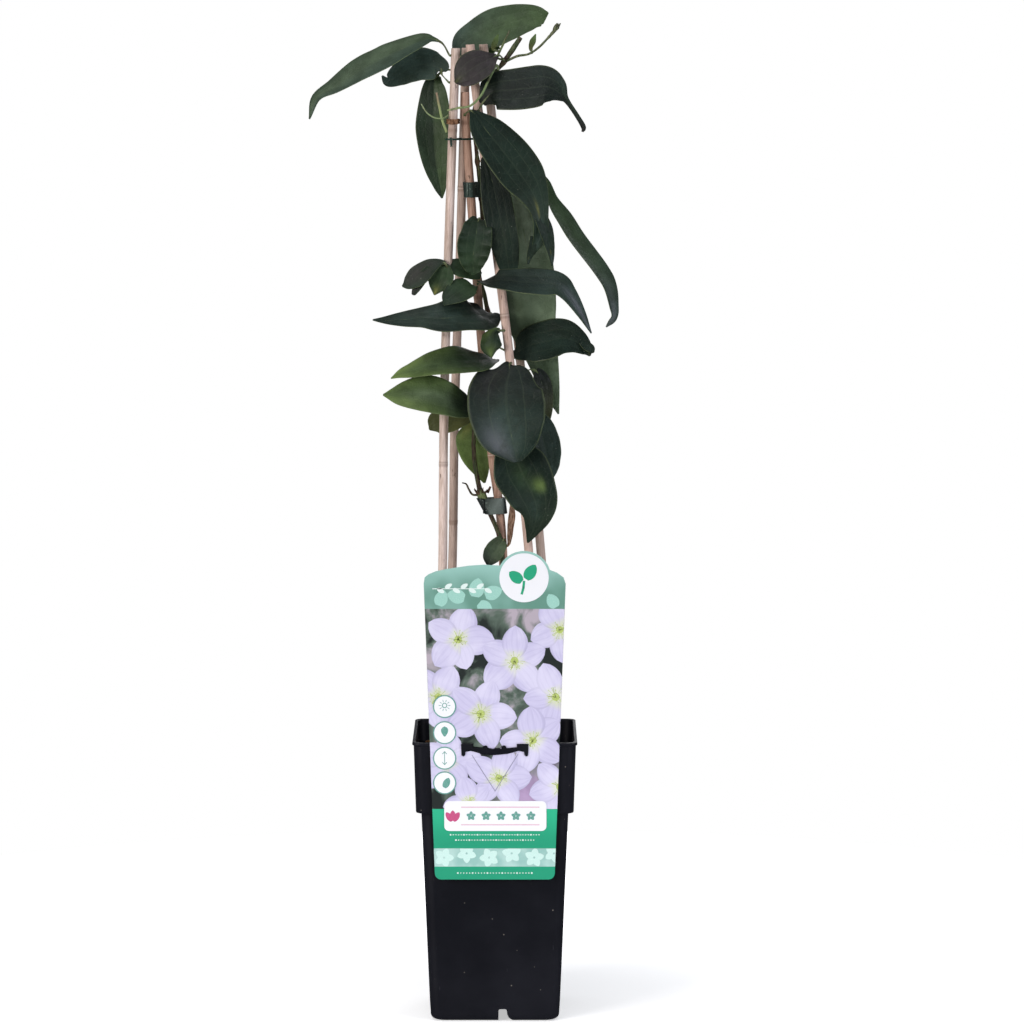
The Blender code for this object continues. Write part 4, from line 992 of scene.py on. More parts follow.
def makeCrumbs():  # loose crumbs, chips of bark and a few pale grains on the surface
    dice = random.Random(soil["seed"])
    bm = newMesh()
    half = innerHalf(soil["edge"]) - 3
    for i in range(soil["crumbs"] + soil["chips"]):
        chip = i >= soil["crumbs"]
        x, y = dice.uniform(-half, half), dice.uniform(-half, half)
        size = dice.uniform(1.6, 3.4) if chip else dice.uniform(0.5, 1.5)
        made = bmesh.ops.create_icosphere(bm, subdivisions=1, radius=size)["verts"]
        shape = (1.0, 0.45, 0.3) if chip else (1.0, dice.uniform(0.6, 0.9), 0.7)
        turn = Matrix.Rotation(dice.uniform(0, 6.28), 3, "Z")
        turn = turn @ Matrix.Rotation(dice.uniform(-0.5, 0.5), 3, "X")
        for vert in made:
            lump = 1 + 0.35 * noise.noise(vert.co * 1.3 + Vector((i, 0, 0)))
            vert.co = turn @ Vector((a * b * lump for a, b in zip(vert.co, shape)))
        bmesh.ops.translate(bm, vec=(x, y, soilHeight(x, y) + size * 0.2), verts=made)
        kind = 1 if chip else (2 if dice.random() < soil["paleShare"] else 0)
        for face in {f for v in made for f in v.link_faces}:
            face.material_index = kind
    piece("soil_crumbs", bm, [
        makeSoilSkin("soilCrumb", soil["deep"], soil["pale"]),
        makeSoilSkin("barkChip", soil["bark"], soil["barkPale"]),
        makeSoilSkin("paleGrain", soil["perlite"], "#e8e2d6")], ["soil"])


makeSoilBed()
makeCrumbs()
print("soil made")

# canes, stem and shoots


def makeCane(name):
    spec, rows, marks = canes[name], [], []
    seed = len(name) * 1.7 + spec["points"][0][0]
    for x, y, z, r in axisOf(name, 64):
        size = 1 + 0.025 * noise.noise(Vector((seed, 0, z * 0.04)))
        mark = 0.0
        for joint in spec["joints"]:
            gap = z - joint
            size += 0.05 * bulge(gap, 1.5) - 0.03 * bulge(gap + 2.6, 1.0)
            scar = 0.68 * smooth(-3.4, -0.6, gap) * smooth(6.0, 0.2, gap) if gap < 0.2 else 0.0
            mark = max(mark, scar, bulge(gap - 0.6, 0.5), 0.3 * smooth(9, 1, gap) if gap > 0 else 0.0)
        rows.append((x, y, z, r * size))
        marks.append(mark)
    x, y, z, r = rows[-1]
    rows += [(x, y, z + 0.12, r * 0.93), (x, y, z + 0.14, r * 0.4), (x, y, z - 1.2, r * 0.3)]
    marks += [0.2, 0.0, 0.0]
    bm = newMesh()
    faces = sweep(bm, rows, 18, mark=lambda i: marks[i],
                  ridge=lambda i, a: 0.018 * math.sin(5 * a + seed) * math.sin(i * 0.015 + seed))
    for face in faces:
        if face.calc_center_median().z > z - 1.25 and abs(face.normal.z) > 0.7 or len(face.verts) > 4:
            face.material_index = 1
            face.smooth = False
    skins = [makeBamboo(name + "_bamboo", spec["pale"], spec["deep"]),
             makeCutEnd(name + "_cut", spec["pale"], spec["deep"])]
    piece(name + "_rod", bm, skins, [name])


def addKnot(bm):  # the swollen knot above the lower tie, with dried flaps and a short dead stub
    x, y, z = stem["knot"]
    swell = spline([(x - 3.2, y + 0.4, z + 4, 0.9), (x - 1.2, y, z + 2, 2.6), (x + 0.4, y, z - 0.5, 3.3),
                    (x + 2.6, y - 0.2, z - 5, 2.3), (x + 5, y - 0.4, z - 10, 1.3)], 6)
    sweep(bm, swell, 18, mark=lambda i: smooth(9, 0, i),
          ridge=lambda i, a: 0.09 * math.sin(3 * a + i * 0.25), material=3)
    for turn, length, lean in stem["flaps"]:
        a = math.radians(turn)
        sweep(bm, [(x - 0.6 + (2.4 + lean * length * t) * math.cos(a),
                    y + (2.2 + lean * 0.5 * length * t) * math.sin(a),
                    z + 0.6 + length * t, 0.75 * (1 - t) ** 0.7 + 0.08) for t in shares(7)], 7, material=2)
    sweep(bm, [(x + 4.0 + 2.2 * t, y + 0.8, z + 1.5 + 4.5 * t, 1.1 - 0.35 * t) for t in shares(5)], 9,
          material=2)


def makeStem():
    rows, marks = [], []
    for x, y, z, r in axisOf("main_stem", 16):
        swell = max(bulge(z - joint, 2.6) for joint in stem["joints"])
        rows.append((x, y, z, r * (0.97 + stem["swelling"] * swell)))
        marks.append(swell)

    def ridge(i, angle):
        lengthwise = noise.noise(Vector((math.cos(angle) * 1.6, math.sin(angle) * 1.6, i * 0.035)))
        knobs = noise.noise(Vector((math.cos(angle) * 0.9, math.sin(angle) * 0.9, i * 0.3)))
        return stem["bark"] * lengthwise * 1.3 + 0.08 * knobs

    bm = newMesh()
    faces = sweep(bm, rows, 20, mark=lambda i: marks[i], ridge=ridge)
    faces[-1].material_index = 1
    dice = random.Random(stem["seed"])
    for _ in range(stem["strips"]):  # strips of bark that have come loose
        i = dice.randrange(10, len(rows) - 12)
        angle, length = dice.uniform(0, 6.28), dice.randrange(4, 10)
        loose = []
        for k in range(length):
            x, y, z, r = rows[i + k]
            off = r * 0.98 + 0.5 * (k / length) ** 2
            loose.append((x + off * math.cos(angle), y + off * math.sin(angle), z,
                          0.28 * (1 - 0.7 * k / length)))
        sweep(bm, loose, 5, material=2)
    addKnot(bm)
    piece("main_stem_vine", bm, [makeBark(), makeCutEnd("stemCut", stem["cut"], "#4a2a26"),
                                 makeDryPaper("barkStrip", "#6d5244", "#33241f"),
                                 makeGreenWood("knotWood", "#5f7044", "#3b2a26")], ["main_stem"])


def makeShoot(name):
    spec, rows = shoots[name], axisOf(name, 12)
    bm = newMesh()
    last = len(rows) - 1
    rows = [(x, y, z, r * (1 + 0.14 * noise.noise(Vector((i * 0.21, len(name), 0)))))
            for i, (x, y, z, r) in enumerate(rows)]
    sweep(bm, rows, 10, mark=lambda i: smooth(0.55, 1.0, i / last))
    if name == "bud_stalk":  # a bud of three pointed scales
        x, y, z, r = rows[-1]
        for turn, length in ((20, 5.2), (140, 4.2), (260, 4.6)):
            a = math.radians(turn)
            out = Vector((math.cos(a) * 0.9 + 0.35, math.sin(a) * 0.9, 0.45))
            sweep(bm, [(x - 3.4 + out.x * t * length * 0.35 + 3.0 * t, y + out.y * t * length * 0.28,
                        z - 3.4 + 5.6 * t + out.z * t,
                        1.25 * math.sin(math.pi * min(1, 0.18 + 0.8 * t)) + 0.08)
                       for t in shares(9)], 10, mark=lambda i: 0.75)
    piece(name + "_twig", bm, [makeGreenWood(name + "_skin", spec["colour"], spec["end"])], [name])


for name in canes:
    makeCane(name)
print("canes made")
makeStem()
for name in shoots:
    makeShoot(name)
print("stem and shoots made")

# leaves


def bladeSurface(rows, face):
    # rows of centre, side, up and half width of a blade, along a smooth curve
    rows = spline(rows, blade["along"])
    centres = [Vector(r[:3]) for r in rows]
    face = Vector(face).normalized()
    out = []
    for centre, tangent, row in zip(centres, tangentsOf(centres), rows):
        side = tangent.cross(face).normalized()
        out.append((centre, side, side.cross(tangent), max(row[3], 0.3)))
    return out


def leafTint(spec, along, across):
    first, second = (colour(tints[name]) for name in spec["tint"])
    shade = blend(first, second, smooth(0.1, 0.95, along))
    # halves: one side of a blade against the other; on leaf_10 a painted shaded half and a painted lit half
    if "halves" in spec:
        left, right = (colour(tints[name]) for name in spec["halves"])
        side = smooth(-0.07, 0.07, across - spec.get("split", 0.0))
        shade = blend(shade, blend(right, left, side), 0.6)
    # patches: spots of another tint, many of them painted sheen, highlights and shade
    for at, over, reach, name, strength in spec.get("patches", ()):
        gap = math.hypot(along - at, (across - over) * 0.45)
        shade = blend(shade, colour(tints[name]), strength * bulge(gap, reach))
    return shade


def flatBlade(last):  # a flat blade from -1 to 1 each way: upper face, lower face and rim
    flat = bmesh.new()
    flat.loops.layers.uv.new("UVMap")
    bmesh.ops.create_grid(flat, x_segments=blade["across"], y_segments=last * 2, size=1.0, calc_uvs=True)
    made = bmesh.ops.duplicate(flat, geom=flat.verts[:] + flat.edges[:] + flat.faces[:])["geom"]
    lower = [g for g in made if isinstance(g, bmesh.types.BMFace)]
    bmesh.ops.translate(flat, vec=(0, 0, -0.1), verts=vertsIn(made))
    bmesh.ops.reverse_faces(flat, faces=lower)
    rim = bmesh.ops.bridge_loops(flat, edges=[e for e in flat.edges if e.is_boundary])["faces"]
    for faces, material in ((flat.faces, 0), (lower, 1), (rim, 2)):
        for face in faces:
            face.smooth, face.material_index = True, material
    return flat


def addBlade(bm, spec, used, seed):  # both faces of a blade and its rim, from rows of its surface
    share, cycles, phase = spec["wave"]
    last, before = len(used) - 1, len(bm.verts)
    pour(bm, flatBlade(last))
    skinLayer = bm.verts.layers.float_color["skin"]
    bm.verts.ensure_lookup_table()
    for vert in bm.verts[before:]:
        across, along, below = vert.co.x, (vert.co.y + 1) / 2, vert.co.z < -0.05
        i = min(int(along * last), last - 1)
        t = along * last - i
        (c0, s0, u0, h0), (c1, s1, u1, h1) = used[i], used[i + 1]
        centre, side, up = c0.lerp(c1, t), s0.lerp(s1, t).normalized(), u0.lerp(u1, t).normalized()
        half = h0 + (h1 - h0) * t
        thin = min(1.0, max(0.0, (half - blade["stalk"]) / 2.5))
        spread = abs(across)
        edge = 1 + thin * blade["ragged"] * noise.noise(Vector((seed, along * 9, 2.0 * (across > 0))))
        ripple = math.sin(2 * math.pi * cycles * along + phase + (1.3 if across > 0 else 0))
        rise = thin * (
            spec["fold"] * half * spread ** 1.4 + share * half * spread ** 2 * ripple
            - blade["groove"] * bulge(across, 0.05)
            - blade["sideGroove"] * bulge(spread - blade["sideVein"], 0.04)
            + blade["puff"] * noise.noise(Vector((across * 3, along * 11, seed))))
        thick = blade["margin"] + (blade["middle"] - blade["margin"]) * (1 - spread ** 3)
        rise += -thick / 2 if below else thick / 2
        vert.co = centre + side * (half * across * edge) + up * rise
        vert[skinLayer] = leafTint(spec, along, across)


def makeLeaf(name, skins):
    spec, steps, thick = leaves[name], blade["along"], blade["stalk"]
    start = seat(spec["root"], thick, (*spec["stalk"], *spec["blade"])[0])
    rows = bladeSurface([start, *((*p, thick) for p in spec["stalk"]), *spec["blade"]], spec["face"])
    seed = sum(ord(c) for c in name) * 0.37
    first = len(spec["stalk"]) * steps + int(0.55 * steps)
    bm = newMesh()
    addBlade(bm, spec, rows[first:], seed)
    for extra in spec.get("extra", ()):
        addBlade(bm, spec, bladeSurface(extra, spec["face"]), seed + 3)
    # the stalk, carried on as a rib under the blade
    stalk = []
    for i, (centre, _, up, half) in enumerate(rows[:-2]):
        inBlade = max(0.0, (i - first) / max(1, len(rows) - 2 - first))
        radius = min(thick * (1 - inBlade) + blade["ribEnd"] * inBlade, max(0.25, half * 0.8))
        stalk.append((*(centre - up * ((radius + blade["ribSunk"]) * min(1.0, inBlade * 8))), radius))
    root = Vector(stalk[0][:3])
    inward = (Vector(supportAt(spec["root"][0], spec["root"][1])[:3]) - root).normalized()
    stalk = [(*(root + inward * 1.2), thick * 1.25), *stalk]
    sweep(bm, stalk, 8, mark=lambda i: smooth(0.1, 0.9, i / len(stalk)), material=3)
    piece(name + "_blade", bm, skins, [name])


leafSkins = [makeLeafSkin(), makeLeafUnder(), makeLeafEdge(),
             makeGreenWood("leafStalk", "#4a5836", "#5b6a44")]
drySkins = [makeDryPaper("drySheath", "#a88a73", "#5f4433")] * 3
drySkins.append(makeDryPaper("drySheathRib", "#a8875e", "#6b4d33"))
for name in leaves:
    makeLeaf(name, drySkins if name == "sheath_dry" else leafSkins)
print("leaves made")

# ties

ties = {  # what each goes around, its size, its colours, and where a clip's front is pale, from left to right: a painted highlight, on tie_lower also the paler part of the clip
    "tie_wire": dict(around=("cane_front_left", "cane_centre"), z=628, height=1.3, thick=1.3, slack=0.7,
                     colours=("#0f2b24", "#1d4438", "#1d4438")),
    "tie_upper": dict(around=("cane_centre", "main_stem"), z=592, height=10.8, thick=0.9, slack=0.9,
                      colours=("#1f2b27", "#34453f", "#5c7168"), front=(-21, -19.5, -17.5, -16)),
    "tie_lower": dict(around=("cane_centre", "main_stem"), z=366, height=11.5, thick=1.0, slack=1.2,
                      colours=("#141c1b", "#2a3634", "#c9dcd4"), front=(-4.6, -2.4, 5.0, 6.6)),
    "tie_band": dict(around=("cane_front_left", "cane_front_left"), z=640.5, height=3.0, thick=0.8, slack=0.6,
                     colours=("#9a7458", "#4a3022")),
}


def beltPoint(names, level, grow, angle):
    way = Vector((math.cos(angle), math.sin(angle)))
    spots = [supportAt(n, level) for n in names]
    x, y, _, r = max(spots, key=lambda c: c[0] * way.x + c[1] * way.y + c[3])
    return Vector((x + (r + grow) * way.x, y + (r + grow) * way.y, level))


def addWireEnds(bm, spec):  # the two ends of the wire, twisted together in front
    foot = beltPoint(spec["around"], spec["z"], spec["slack"] + 0.6, math.radians(255))
    for turn in (0, math.pi):
        rows = []
        for t in shares(29):
            a = turn + t * 13
            rows.append((foot.x + 0.45 * math.cos(a) + 0.6 * t, foot.y - 0.2 - 1.2 * t,
                         foot.z + 1.4 - 6.5 * t + 0.2 * math.sin(a), 0.42))
        sweep(bm, rows, 8)


def addWraps(bm, spec, sides):  # loose wraps over the dried band
    for lift, tilt in ((-1.0, 0.35), (0.6, -0.4), (1.3, 0.2)):
        def strand(i, k, lift=lift, tilt=tilt):
            angle, around = 2 * math.pi * k / sides, 2 * math.pi * i / 8
            point = beltPoint(spec["around"], spec["z"], spec["slack"] + 0.75 + 0.4 * math.cos(around), angle)
            point.z += lift + tilt * 2 * math.sin(angle) + 0.4 * math.sin(around)
            return point
        ringStack(bm, sides, 8, strand, wrap=True)


def addHinge(bm, spec):  # the clip's hinge: a small bar along its front
    foot = beltPoint(spec["around"], spec["z"], spec["slack"] + spec["thick"], math.radians(250))
    tall = spec["height"] - 1.6
    sweep(bm, [(foot.x, foot.y - 0.1, foot.z + (t - 0.5) * tall, 0.75) for t in shares(6)], 10)
    # mark 1 in a band of x across the clip's front: a painted highlight, on tie_lower also the paler part of
    # the clip
    low, lowEnd, highEnd, high = spec["front"]
    mark = bm.verts.layers.float["mark"]
    for vert in bm.verts:
        vert[mark] = smooth(low, lowEnd, vert.co.x) * (1 - smooth(highEnd, high, vert.co.x))


def makeTie(name):
    spec, sides, section = ties[name], 56, []
    wide, tall = spec["thick"] / 2, spec["height"] / 2
    corner = min(wide, tall) * 0.9
    for cx, cz, start in ((1, 1, 0), (-1, 1, 90), (-1, -1, 180), (1, -1, 270)):
        for k in range(4):
            a = math.radians(start + 30 * k)
            section.append((spec["slack"] + wide + cx * (wide - corner) + corner * math.cos(a),
                            spec["z"] + cz * (tall - corner) + corner * math.sin(a)))

    def place(i, k):
        angle = 2 * math.pi * k / sides
        grow, level = section[i]
        if name == "tie_band":
            grow += 0.25 * noise.noise(Vector((math.cos(angle) * 3, math.sin(angle) * 3, level)))
            level += 0.5 * math.sin(angle * 2 + 1)
        elif name == "tie_wire":
            grow += 0.12 * math.sin(14 * angle + i * 0.4)
        elif section[i][0] > spec["slack"] + wide:  # ribs round the outside of the clip
            grow += 0.12 * math.cos((level - spec["z"]) * 2.2)
        return beltPoint(spec["around"], level, grow, angle)

    bm = newMesh()
    ringStack(bm, sides, len(section), place, wrap=True)
    if name == "tie_band":
        addWraps(bm, spec, sides)
        piece(name + "_wrap", bm, [makeDryPaper("driedWrap", *spec["colours"])], [name])
        return
    if name == "tie_wire":
        addWireEnds(bm, spec)
    else:
        addHinge(bm, spec)
    piece(name + "_clip", bm, [makePlastic(name + "_plastic", *spec["colours"])], [name])


for name in ties:
    makeTie(name)
print("ties made")

# label: the card keeps its CAD shape; the print is thin plates on its face

label = {
    "face": -59.25, "bottom": 105.2, "bottomHalf": 42.6, "slope": 0.03545,
    "header": 298.9, "pictureEnd": 155.9, "stripTop": 127.6, "stripEnd": 114.5,
    "headerDeep": "#669485", "headerPale": "#98c6bc", "green": "#1f9b76", "strip": "#93bfb8",
    "pictureDark": "#262d2b", "pictureMid": "#5c6c61", "pictureMist": "#b3a9b4", "paper": "#eef0f2",
    "petalInner": "#d3dab4", "petal": "#cbc7e4", "petalEdge": "#a9a5c8", "petalShade": "#b3aed2",
    "blossoms": (  # across, height, petal length, first petal's turn, number of petals
        (-26, 277, 25, 12, 5), (46, 284, 24, 40, 5), (14, 262, 26, 75, 5), (-40, 236, 25, 100, 5),
        (43, 236, 26, 50, 5), (-10, 224, 27, 20, 5), (27, 205, 25, 60, 5), (-34, 190, 24, 5, 5),
        (3, 178, 25, 84, 5), (46, 172, 24, 33, 5), (-18, 160, 20, 55, 5)),
    "tab": (20.7, 321.0), "discRadius": 17.4,
    "badges": (229.3, 210.6, 192.4, 174.7), "badgeAcross": -35.5, "badgeRadius": 8.1,
    "box": (-35.8, 36.6, 140.2, 161.7), "boxCorner": 3.4,
    "creases": ((-16.1, 194.5), (0.2, 168.8), (16.4, 195.2)),
    "headerTop": 322, "layer": 0.004, "seed": 5,
    "headerPetals": (  # across, height, length, turn
        (-14, 306, 15, 10), (-8, 308, 14, 70), (-12, 304, 13, 130), (-20, 306, 14, 285), (-40, 300, 13, 20),
        (44, 299, 12, 330)),
    "dots": ((137.4, 34, 1.9), (133.6, 30, 1.9), (109.9, 26, 2.1)),  # height, number in the row, spacing
    "inks": {  # colour, colour of the speckles, and their share
        "heartPrint": ("#a9bd5e", "#e4ecb4", 0.8), "headerPetal": ("#9accbf", "#b8e0d6", 0.5),
        "stripPetal": ("#c4e6de", "#e2f4f0", 0.5), "whitePrint": ("#eceef2", "#f8f9fb", 0.12),
        "tealPrint": ("#5f9c90", "#ffffff", 0.12), "greenPrint": ("#2aa27a", "#4cba94", 0.12),
        "pinkPrint": ("#d58fae", "#ffffff", 0.12), "palePrint": ("#dceee9", "#ffffff", 0.3),
        "pinkSprig": ("#c2507f", "#d988a8", 0.12), "creaseShade": ("#8c8aa6", "#b9b7cc", 0.4),
    },
}


def makePetalPrint():
    skin = Finish("petalPrint", 0.38, 0.35)
    across, along, _ = skin.split("UV")
    rays = skin.noise(1.0, 3, 0.6, skin.stretched((9, 0.8, 1), "UV"))
    base = skin.tone(label["petalInner"], along, 0.0, 0.3, label["petal"])
    base = skin.tone(base, rays, 0.42, 0.66, label["petalShade"], 0.5)
    base = skin.tone(base, skin.fromMiddle(across), 0.72, 1.0, label["petalEdge"], 0.55)
    return onPaper(skin, skin.tone(base, skin.noise(45, 3), 0.42, 0.66, "#eceafa", 0.35))


def makeCard():
    skin = Finish("cardPrint", 0.34, 0.4)
    across, deep, high = skin.split("Object")

    def above(z, soft, base, shade):  # another print above a height
        return skin.tone(base, high, (z - soft) * mm, (z + soft) * mm, shade)

    dark, mid, mist = label["pictureDark"], label["pictureMid"], label["pictureMist"]
    picture = skin.ramp(skin.noise(38, 4, 0.55, distortion=0.6),
                        ((0.0, dark), (0.4, dark), (0.5, mid), (0.62, mist)))
    blush = skin.times(skin.fade(high, 0.168, 0.2, 1.0, 0.0), skin.fade(across, -0.01, 0.02))
    picture = skin.mix(skin.times(blush, 0.8), picture, skin.ramp(
        skin.noise(45, 2), ((0.0, "#8b6f9b"), (0.45, "#b79bc6"), (0.6, "#9db884"))))
    deepTeal, paleTeal = label["headerDeep"], label["headerPale"]
    header = skin.tone(deepTeal, skin.noise(30, 2), 0.42, 0.62, skin.mix(0.45, deepTeal, paleTeal))
    header = skin.tone(header, high, 0.31, 0.333, paleTeal)
    base = skin.tone(label["green"], high, 0.13, 0.156, "#2bb488")
    base = skin.mix(skin.band(high, label["stripEnd"] * mm, label["stripTop"] * mm, 0.0001), base,
                    skin.tone(label["strip"], skin.noise(60, 3), 0.4, 0.65, "#b0d3cc"))
    base = above(label["pictureEnd"], 0.15, base, picture)
    base = above(label["header"], 0.2, base, header)
    front = skin.fade(deep, -0.05922, -0.05918, 1.0, 0.0)
    grain = skin.noise(1300, 3, 0.6)
    base = skin.mix(front, skin.tone(label["paper"], grain, 0.4, 0.65, "#dfe1e3", 0.5), base)
    card = skin.done(base, skin.fade(grain, 0.3, 0.7, 0.3, 0.42), grain, 0.00003, 0.3)
    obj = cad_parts["label"]
    for slot in obj.material_slots:
        slot.material = card
    if not obj.material_slots:
        obj.data.materials.append(card)


def clipped(bm, low, high):  # keeps a flat print inside the card, between two heights
    planes = [((0, 0, high), (0, 0, 1)), ((0, 0, low), (0, 0, -1))]
    for side in (-1, 1):
        planes.append(((side * (label["bottomHalf"] - 0.15), 0, label["bottom"]),
                       (side, 0, -label["slope"])))
    for spot, way in planes:
        bmesh.ops.bisect_plane(bm, geom=bm.verts[:] + bm.edges[:] + bm.faces[:], dist=0.0001,
                               plane_co=spot, plane_no=way, clear_outer=True)
    return bm


def printed(name, bm, ink, lift, thick=0.03):  # makes flat faces a thin plate on the card
    bmesh.ops.recalc_face_normals(bm, faces=bm.faces)
    bmesh.ops.reverse_faces(bm, faces=[f for f in bm.faces if f.normal.y > 0])
    made = bmesh.ops.extrude_face_region(bm, geom=bm.faces[:], use_keep_orig=True)["geom"]
    bmesh.ops.translate(bm, vec=(0, thick, 0), verts=vertsIn(made))
    bmesh.ops.translate(bm, vec=(0, label["face"] - lift - thick * 0.5, 0), verts=bm.verts)
    bmesh.ops.recalc_face_normals(bm, faces=bm.faces)
    piece(name, bm, [inks[ink]], [])


def petalShape(bm, cx, cz, length, width, turn, lift, tip):
    # a rounded petal or leaf, as a small grid drawn in at both ends
    made = bmesh.ops.create_grid(bm, x_segments=8, y_segments=10, size=1.0, calc_uvs=True)["verts"]
    c, s = math.cos(math.radians(turn)), math.sin(math.radians(turn))
    for vert in made:
        v, u = vert.co.x, (vert.co.y + 1) / 2
        wide = width * math.sin(math.pi * min(1.0, 0.07 + 0.93 * u) ** tip) ** 0.62 + 0.05
        x, z = v * wide, length * (0.1 + 0.9 * u)
        vert.co = (cx + c * x + s * z, -lift, cz - s * x + c * z)


def disc(bm, cx, cz, radius, lift=0.0, inner=0.0, segments=48):
    made = bmesh.ops.create_circle(bm, cap_ends=not inner, segments=segments, radius=radius)["verts"]
    if inner:
        ring = list({e for v in made for e in v.link_edges})
        inside = vertsIn(bmesh.ops.extrude_edge_only(bm, edges=ring)["geom"])
        bmesh.ops.scale(bm, vec=(inner / radius,) * 3, verts=inside)
        made = list(made) + inside
    for vert in made:
        vert.co = (cx + vert.co.x, -lift, cz + vert.co.y)


def strip(bm, points, wide, lift=0.0):  # a flat line through points of (x, z)
    for (ax, az), (bx, bz) in zip(points, points[1:]):
        dx, dz = bx - ax, bz - az
        size = math.hypot(dx, dz)
        nx, nz = -dz / size * wide / 2, dx / size * wide / 2
        ex, ez = dx / size * wide * 0.2, dz / size * wide * 0.2
        verts = [bm.verts.new(p) for p in (
            (ax - ex + nx, -lift, az - ez + nz), (bx + ex + nx, -lift, bz + ez + nz),
            (bx + ex - nx, -lift, bz + ez - nz), (ax - ex - nx, -lift, az - ez - nz))]
        bmesh.ops.contextual_create(bm, geom=verts)


def makeBlossoms():
    dice = random.Random(label["seed"])
    petals, hearts, faint, low = newMesh(), newMesh(), newMesh(), newMesh()
    layer = label["layer"]
    for n, (cx, cz, length, turn, count) in enumerate(label["blossoms"]):
        for k in range(count):
            size = length * dice.uniform(0.88, 1.06)
            petalShape(petals, cx, cz, size, size * dice.uniform(0.34, 0.43),
                       turn + k * 360 / count + dice.uniform(-9, 9), layer * (n * 6 + k), 0.95)
        lift = layer * (n * 6 + 5.5)
        disc(hearts, cx, cz, length * 0.105, lift, segments=24)
        for _ in range(22):  # threads round the heart
            a, reach = dice.uniform(0, 6.28), length * dice.uniform(0.16, 0.27)
            tipX, tipZ = cx + reach * math.cos(a), cz + reach * math.sin(a)
            strip(hearts, ((cx, cz), (tipX, tipZ)), 0.24, lift + 0.001)
            disc(hearts, tipX, tipZ, 0.36, lift + 0.002, segments=8)
    # pale petals in the header and in the strip below
    for k, (cx, cz, length, turn) in enumerate(label["headerPetals"]):
        petalShape(faint, cx, cz, length, length * 0.36, turn, layer * k, 0.85)
    for n, cx in enumerate((-36, -20, -4, 12, 28, 42)):
        for k in range(5):
            petalShape(low, cx, 121 + 3 * (n % 2), 7, 2.5, 20 + 72 * k + 15 * n, 0.003 * (n * 5 + k), 0.85)
    picture, header = label["pictureEnd"], label["header"]
    for name, bm, bottom, top, ink, lift, thick in (
            ("label_petals", petals, picture, header, "petalPrint", 0.03, 0.002),
            ("label_hearts", hearts, picture, header, "heartPrint", 0.033, 0.002),
            ("label_header_petals", faint, header, label["headerTop"], "headerPetal", 0.03, 0.01),
            ("label_strip_petals", low, label["stripEnd"], label["stripTop"], "stripPetal", 0.03, 0.008)):
        printed(name, clipped(bm, bottom + 0.1, top - 0.1), ink, lift, thick)


def makeTab():  # a white disc in the card's tab, with a sprig of two leaves
    cx, cz = label["tab"]
    bm = newMesh()
    disc(bm, cx, cz, label["discRadius"], segments=72)
    printed("label_tab_disc", bm, "whitePrint", 0.1)
    bm = newMesh()
    petalShape(bm, cx - 0.6, cz - 3.5, 12.5, 3.9, -52, 0.02, 0.9)
    petalShape(bm, cx + 0.6, cz - 2.0, 13.5, 4.1, 34, 0.04, 0.9)
    strip(bm, ((cx - 1.6, cz - 11.5), (cx - 0.4, cz - 7.0), (cx, cz - 2.5)), 1.7)
    printed("label_tab_sprig", bm, "greenPrint", 0.16)


def makeOrnament():  # a small leafy twig where the heading would be
    bm = newMesh()
    for k in range(7):
        petalShape(bm, -41 + 5.6 * k, 313.4, 6.2, 1.5, 58 if k % 2 else 118, label["layer"] * k, 0.9)
    strip(bm, ((-44, 313.2), (-4, 313.2)), 0.55)
    printed("label_ornament", bm, "palePrint", 0.12, 0.02)


def makeBadges():  # four round badges: sun, drop, height and leaf
    faces, rims, marks = newMesh(), newMesh(), newMesh()
    x, radius = label["badgeAcross"], label["badgeRadius"]
    for z in label["badges"]:
        disc(faces, x, z, radius)
        disc(rims, x, z, radius + 0.1, inner=radius - 0.7)
    sun, drop, tall, leaf = label["badges"]
    sun += 0.8
    disc(marks, x, sun, 1.9, inner=1.3, segments=32)
    for k in range(10):
        a = 2 * math.pi * k / 10
        strip(marks, [(x + reach * math.cos(a), sun + reach * math.sin(a)) for reach in (2.6, 4.1)], 0.4)
    petalShape(marks, x, drop - 3.5, 8.0, 2.5, 0, 0.0, 1.5)
    strip(marks, ((x, tall - 4.6), (x, tall + 4.6)), 0.5)
    for end in (-1, 1):
        strip(marks, ((x - 1.5, tall + end * 3.0), (x, tall + end * 4.7), (x + 1.5, tall + end * 3.0)), 0.5,
              label["layer"])
    petalShape(marks, x - 0.6, leaf - 4.2, 8.6, 2.4, 25, 0.0, 0.9)
    printed("label_badges", faces, "whitePrint", 0.42)
    printed("label_badge_rims", rims, "tealPrint", 0.45)
    printed("label_badge_marks", marks, "tealPrint", 0.45)


